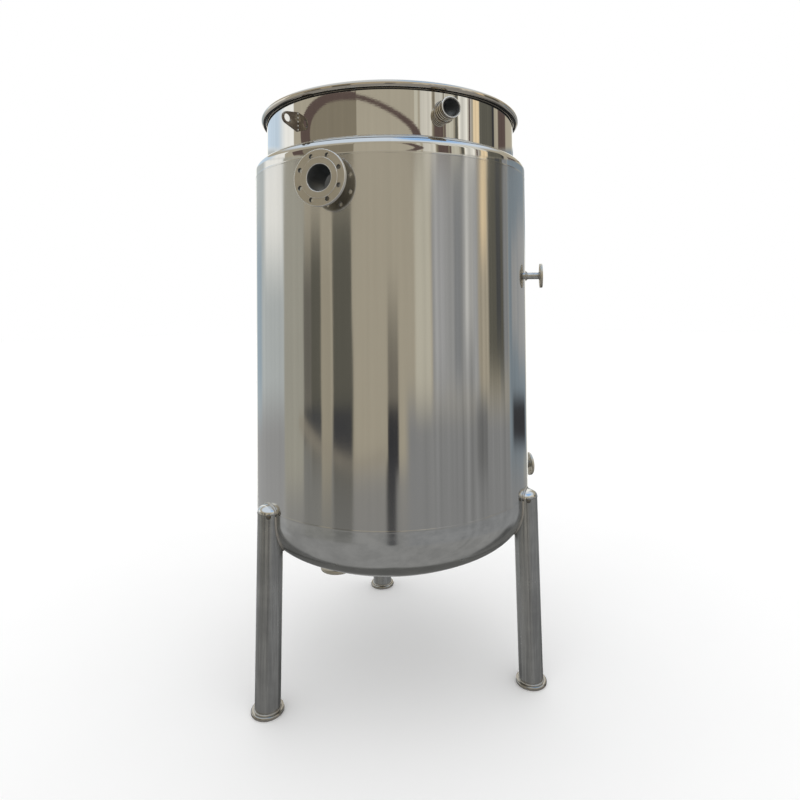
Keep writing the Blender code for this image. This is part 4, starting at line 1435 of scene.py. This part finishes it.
# Soft flats round the tank, seen only in its steel, later ones in front. Azimuth is from the camera's side, growing
# to the right: middle, half width and softness, then lowest and highest elevation with their softness, in degrees
SOFT_FLATS = (
    # Across the jacket
    (75.0, 64.0, 6.0, -30.0, -10.0, 3.0, (0.31, 0.315, 0.32)),
    (-130.0, 35.0, 4.0, -30.0, NECK_LINE, 3.0, SLATE),
    (-130.0, 35.0, 4.0, -10.0, NECK_LINE, 3.0, PALE_BLUE),
    (-112.0, 15.0, 8.0, 4.0, NECK_LINE, 5.0, WHITE),
    (-145.0, 10.0, 8.0, -10.0, 7.0, 4.0, BLUE),
    (-85.0, 11.5, 2.0, -18.0, NECK_LINE, 3.0, (0.46, 0.45, 0.385)),
    (-54.0, 21.0, 1.6, -24.0, -13.0, 2.5, (0.28, 0.28, 0.265)),
    (-66.3, 8.2, 1.6, -12.5, 5.0, 5.0, (0.19, 0.18, 0.155)),
    (-62.5, 4.6, 1.6, -14.5, 7.0, 5.0, DARK),
    (-53.7, 4.4, 1.4, -18.0, 6.0, 5.0, (0.44, 0.40, 0.31)),
    (-39.8, 7.9, 1.2, -24.0, -15.0, 2.5, (0.21, 0.21, 0.20)),
    (-39.8, 7.9, 1.2, -16.5, 11.0, 5.0, DARK),
    (-33.5, 2.4, 2.4, -15.0, -3.0, 4.0, DARK),
    (-40.2, 7.8, 1.2, -15.6, -10.2, 0.5, (0.062, 0.063, 0.068)),
    (-66.3, 8.2, 1.6, -13.4, -10.2, 0.5, (0.075, 0.078, 0.082)),
    (0.2, 4.1, 1.4, -14.0, -1.0, 6.0, UMBER),
    (0.0, 4.1, 1.2, -17.0, -10.2, 0.5, BLACK),
    (-1.6, 3.6, 2.5, -27.0, -15.8, 1.2, (0.075, 0.076, 0.08)),
    (24.0, 6.2, 2.0, -10.0, NECK_LINE, 3.0, CREAM),
    (53.0, 21.5, 2.0, -10.0, NECK_LINE, 3.0, SLATE),
    (38.0, 4.0, 4.0, -8.0, NECK_LINE, 4.0, (0.49, 0.495, 0.50)),
    (64.0, 4.0, 4.0, -4.0, NECK_LINE, 4.0, (0.62, 0.62, 0.60)),
    (53.5, 3.0, 2.5, -8.0, NECK_LINE, 3.0, GREY),
    (78.0, 5.2, 2.5, -8.0, NECK_LINE, 3.0, SAND),
    (79.0, 3.6, 2.5, 5.0, NECK_LINE, 4.0, GOLD),
    (104.0, 6.0, 2.0, -8.0, NECK_LINE, 4.0, GREY),
    (93.5, 9.4, 2.0, -8.0, NECK_LINE, 4.0, DARK),
    (96.5, 3.0, 1.5, -4.0, NECK_LINE, 4.0, DEEP),
    (75.5, 6.0, 4.0, -17.0, -10.0, 2.0, (0.215, 0.218, 0.22)),
    (131.0, 20.5, 2.0, -16.0, NECK_LINE, 3.0, STEEL_BLUE),
    (140.0, 12.0, 6.0, -6.0, 8.0, 3.0, SLATE),
    (122.0, 6.0, 4.0, -4.0, 6.0, 3.0, SLATE),
    (131.0, 15.0, 5.0, -13.8, -9.4, 1.2, BLACK),
    # Across the neck
    (-130.0, 35.0, 1.2, NECK_LINE, 26.0, 0.4, WHITE),
    (-142.0, 28.0, 18.0, NECK_LINE, 26.0, 0.4, SKY),
    (-30.0, 0.45, 0.5, 13.0, 26.0, 0.4, SHADE),
    (21.8, 1.6, 0.6, NECK_LINE, 26.0, 0.4, CREAM),
    (30.5, 5.2, 0.8, NECK_LINE, 26.0, 0.4, (0.76, 0.73, 0.64)),
    (37.5, 1.0, 0.6, NECK_LINE, 26.0, 0.4, SHADE),
    (44.0, 5.0, 0.8, NECK_LINE, 26.0, 0.4, (0.70, 0.68, 0.60)),
    (43.5, 5.5, 1.2, NECK_LINE, 17.9, 0.4, BROWN),
    (47.0, 0.6, 0.6, NECK_LINE, 26.0, 0.4, SHADE),
    (53.0, 3.6, 0.8, NECK_LINE, 26.0, 0.4, CREAM),
    (59.5, 1.4, 0.6, NECK_LINE, 26.0, 0.4, DARK),
    (66.5, 5.0, 0.8, NECK_LINE, 26.0, 0.4, (0.92, 0.90, 0.82)),
    (74.0, 2.0, 0.6, NECK_LINE, 26.0, 0.4, (0.62, 0.58, 0.52)),
    (73.6, 0.7, 0.4, NECK_LINE, 19.6, 0.4, BROWN),
    (81.3, 3.4, 0.8, NECK_LINE, 26.0, 0.4, GOLD),
    (96.0, 10.5, 1.4, NECK_LINE, 26.0, 0.4, DARK),
    (104.5, 1.4, 0.8, NECK_LINE, 19.6, 0.6, BLACK),
    (121.0, 8.0, 3.0, NECK_LINE, 20.6, 0.4, BROWN),
    (138.0, 14.0, 3.0, 19.3, 20.6, 0.4, BROWN),
    # Over the shoulder
    (62.0, 26.0, 6.0, 21.5, 44.0, 2.0, (0.80, 0.79, 0.72)),
    (70.0, 48.0, 30.0, 56.0, 95.0, 6.0, (0.40, 0.66, 1.06)),
    # Behind the tank, for the edges and the bottom
    (-163.0, 9.0, 5.0, -22.0, 60.0, 5.0, WHITE),
    (163.0, 9.0, 5.0, -22.0, 60.0, 5.0, WHITE),
    (163.0, 9.0, 5.0, 5.0, NECK_LINE, 3.0, STEEL_BLUE),
    (-138.0, 27.0, 10.0, -55.0, -32.0, 4.0, DEEP),
    (138.0, 27.0, 10.0, -55.0, -29.0, 4.0, DEEP),
    (-180.0, 62.0, 24.0, -95.0, -40.0, 8.0, (0.13, 0.13, 0.125)),
    (180.0, 62.0, 24.0, -95.0, -34.0, 8.0, (0.13, 0.13, 0.125)),
)

# Bent strips among the flats: middle, reach across and up, power, half thickness, the azimuths and the elevations
# that they run between, strength and tint
BENT_STRIPS = (
    ((-32.0, 16.2), (49.0, 3.67), 2.2, 0.25, (-90.0, -30.0), (NECK_LINE, 26.0), 1.0, BROWN),
    ((-32.0, 16.2), (54.5, 3.55), 1.5, 0.10, (-30.0, 40.0), (NECK_LINE, 26.0), 1.0, BROWN),
    ((-27.0, -8.5), (62.0, 7.3), 1.5, 0.13, (-80.0, -6.0), (-26.0, -10.5), 0.8, (0.40, 0.36, 0.29)),
)


def bend(azimuth, elevation, middle, reach, power):
    """|azimuth / reach|^power + |elevation / reach|^power, both from the strip's middle. It is 1 along the strip."""
    across, upright = abs((azimuth - middle[0]) / reach[0]), abs((elevation - middle[1]) / reach[1])
    return across.math("POWER", across, power) + upright.math("POWER", upright, power)


class TANK_OT_studio(Operator):
    """Plain pale floor, soft light and the camera"""

    bl_idname = "tank.studio"
    bl_label = "Studio"

    def execute(self, context):
        studio = context.scene.tank_studio
        self.floor(studio)
        self.light(context.scene, studio)
        self.camera(context.scene, studio)
        context.scene.view_settings.view_transform = "Standard"
        return {"FINISHED"}

    def floor(self, studio):
        """A wide round floor: radius grows from the middle, and the height stays at nought."""
        grid = polar(np.array(FLOOR_RADII), angles(PIPE_COLUMNS)[:, None])
        points, faces = welded(grid.reshape(-1, 3), grid_faces(*grid.shape[:2], False)[:, ::-1])
        mesh = bpy.data.meshes.new("floor")
        mesh.from_pydata(points, [], faces)
        mesh.materials.append(floor_paint("studio floor", studio.floor))
        floor = bpy.data.objects.new("floor", mesh)
        bpy.context.scene.collection.objects.link(floor)
        floor.visible_glossy = False

    def light(self, scene, studio):
        """Soft light by direction: lower studio, warm wall and cool ceiling by elevation, then the soft flats."""
        world = bpy.data.worlds.new("studio light")
        world.use_nodes = True
        scene.world = world
        graph = Graph(world.node_tree)
        aim = graph.add("ShaderNodeTexCoord", output="Generated")
        front = outward(math.degrees(studio.camera_azimuth))
        right = np.cross(UP, front)
        forth = graph.vector("DOT_PRODUCT", aim, tuple(front), output=1)
        aside = graph.vector("DOT_PRODUCT", aim, tuple(right), output=1)
        height = graph.part(aim, 2)
        azimuth = aside.math("ARCTAN2", aside, forth) * DEGREES
        elevation = height.math("ARCSINE", height) * DEGREES
        tint = graph.blend(graph.ease(elevation, *GROUND_TO_WALL), tuple(studio.ground), tuple(studio.wall))
        tint = graph.blend(graph.ease(elevation, *WALL_TO_SKY), tint, tuple(studio.sky))
        inside = graph.ease(bend(azimuth, elevation, *BENT_STRIPS[0][:3]), *BOW_EDGE, 1.0, 0.0)
        tint = graph.blend(inside * graph.ease(azimuth, *BOW_END, 1.0, 0.0), tint, SHADE)
        for middle, half, soft, low, high, edge, flat_tint in SOFT_FLATS:
            across = graph.ease(abs(azimuth - middle), half - soft / 2, half + soft / 2, 1.0, 0.0)
            upright = graph.window(elevation, low, high, edge, CRISP_EDGE if high == NECK_LINE else edge)
            tint = graph.blend(across * upright, tint, flat_tint)
        for middle, reach, power, half, (left, right), (low, high), strength, strip_tint in BENT_STRIPS:
            off = abs(bend(azimuth, elevation, middle, reach, power) - 1.0)
            shown = graph.ease(off, half - STRIP_SIDE, half + STRIP_SIDE, strength, 0.0)
            shown = shown * graph.window(azimuth, left, right, STRIP_END, STRIP_END)
            shown = shown * graph.window(elevation, low + STRIP_END, high - STRIP_END, STRIP_END, STRIP_END)
            tint = graph.blend(shown, tint, strip_tint)
        slats = graph.line_noise(azimuth, *SLATS)
        near = graph.ease(abs(azimuth - SLAT_MIDDLE), *SLAT_FADE, *SLAT_STRENGTH)
        tint = graph.add("ShaderNodeVectorMath", {"operation": "SCALE"}, {0: tint, "Scale": 1.0 + (slats - 0.5) * near})
        steel_light = graph.add("ShaderNodeBackground", {}, {"Color": tint, "Strength": 1.0})
        pale = graph.add("ShaderNodeBackground", {}, {"Color": tuple(studio.backdrop), "Strength": 1.0})
        soft = graph.add("ShaderNodeBackground", {}, {"Color": (1.0, 1.0, 1.0), "Strength": SOFT_LIGHT})
        glossy = graph.add("ShaderNodeLightPath", output="Is Glossy Ray")
        camera = graph.add("ShaderNodeLightPath", output="Is Camera Ray")
        lit = graph.add("ShaderNodeMixShader", {}, {0: glossy, 1: soft, 2: steel_light})
        seen = graph.add("ShaderNodeMixShader", {}, {0: camera, 1: lit, 2: pale})
        graph.add("ShaderNodeOutputWorld", {}, {"Surface": seen})

    def camera(self, scene, studio):
        """The camera looks at the tank's axis, turned by the pan, pitch and roll."""
        lens = bpy.data.cameras.new("camera")
        lens.sensor_width, lens.lens = SENSOR, LENS
        lens.shift_x, lens.shift_y = SHIFT
        lens.clip_end = 200.0
        camera = bpy.data.objects.new("camera", lens)
        scene.collection.objects.link(camera)
        away = outward(math.degrees(studio.camera_azimuth))
        camera.location = Vector(AXIS + away * studio.camera_distance + studio.camera_height * UP)
        look = Vector(-away).to_track_quat("-Z", "Y").to_matrix().to_4x4()
        pan = Matrix.Rotation(-studio.camera_pan, 4, "Y")
        pitch = Matrix.Rotation(studio.camera_pitch, 4, "X")
        roll = Matrix.Rotation(-studio.camera_roll, 4, "Z")
        camera.rotation_euler = (look @ pan @ pitch @ roll).to_euler()
        scene.camera = camera


OPERATORS = (
    TANK_OT_vessel,
    TANK_OT_rim,
    TANK_OT_jacket,
    TANK_OT_legs,
    TANK_OT_main_nozzle,
    TANK_OT_union,
    TANK_OT_side_nozzles,
    TANK_OT_outlet,
    TANK_OT_lugs,
    TANK_OT_studio,
)

GROUPS = {
    "tank_body": TankBodySizes,
    "tank_legs": TankLegSizes,
    "tank_nozzles": TankNozzleSizes,
    "tank_lugs": TankLugSizes,
    "tank_colours": TankColours,
    "tank_studio": TankStudio,
}


class TANK_PT_panel(Panel):
    """Lists the tank's pieces, sizes and colours"""

    bl_idname = "TANK_PT_panel"
    bl_label = "Jacketed storage tank"
    bl_space_type = "VIEW_3D"
    bl_region_type = "UI"
    bl_category = "Tank"

    def draw(self, context):
        for operator in OPERATORS:
            self.layout.operator(operator.bl_idname)
        for group in GROUPS:
            box = self.layout.box()
            settings = getattr(context.scene, group)
            for name in settings.__annotations__:
                box.prop(settings, name)


def register():
    for kind in (*GROUPS.values(), *OPERATORS, TANK_PT_panel):
        bpy.utils.register_class(kind)
    for name, kind in GROUPS.items():
        setattr(bpy.types.Scene, name, PointerProperty(type=kind))


def unregister():
    for name in GROUPS:
        delattr(bpy.types.Scene, name)
    for kind in reversed((*GROUPS.values(), *OPERATORS, TANK_PT_panel)):
        bpy.utils.unregister_class(kind)


def main():
    register()
    for operator in OPERATORS:
        group, name = operator.bl_idname.split(".")
        getattr(getattr(bpy.ops, group), name)()
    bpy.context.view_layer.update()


if __name__ == "__main__":
    main()
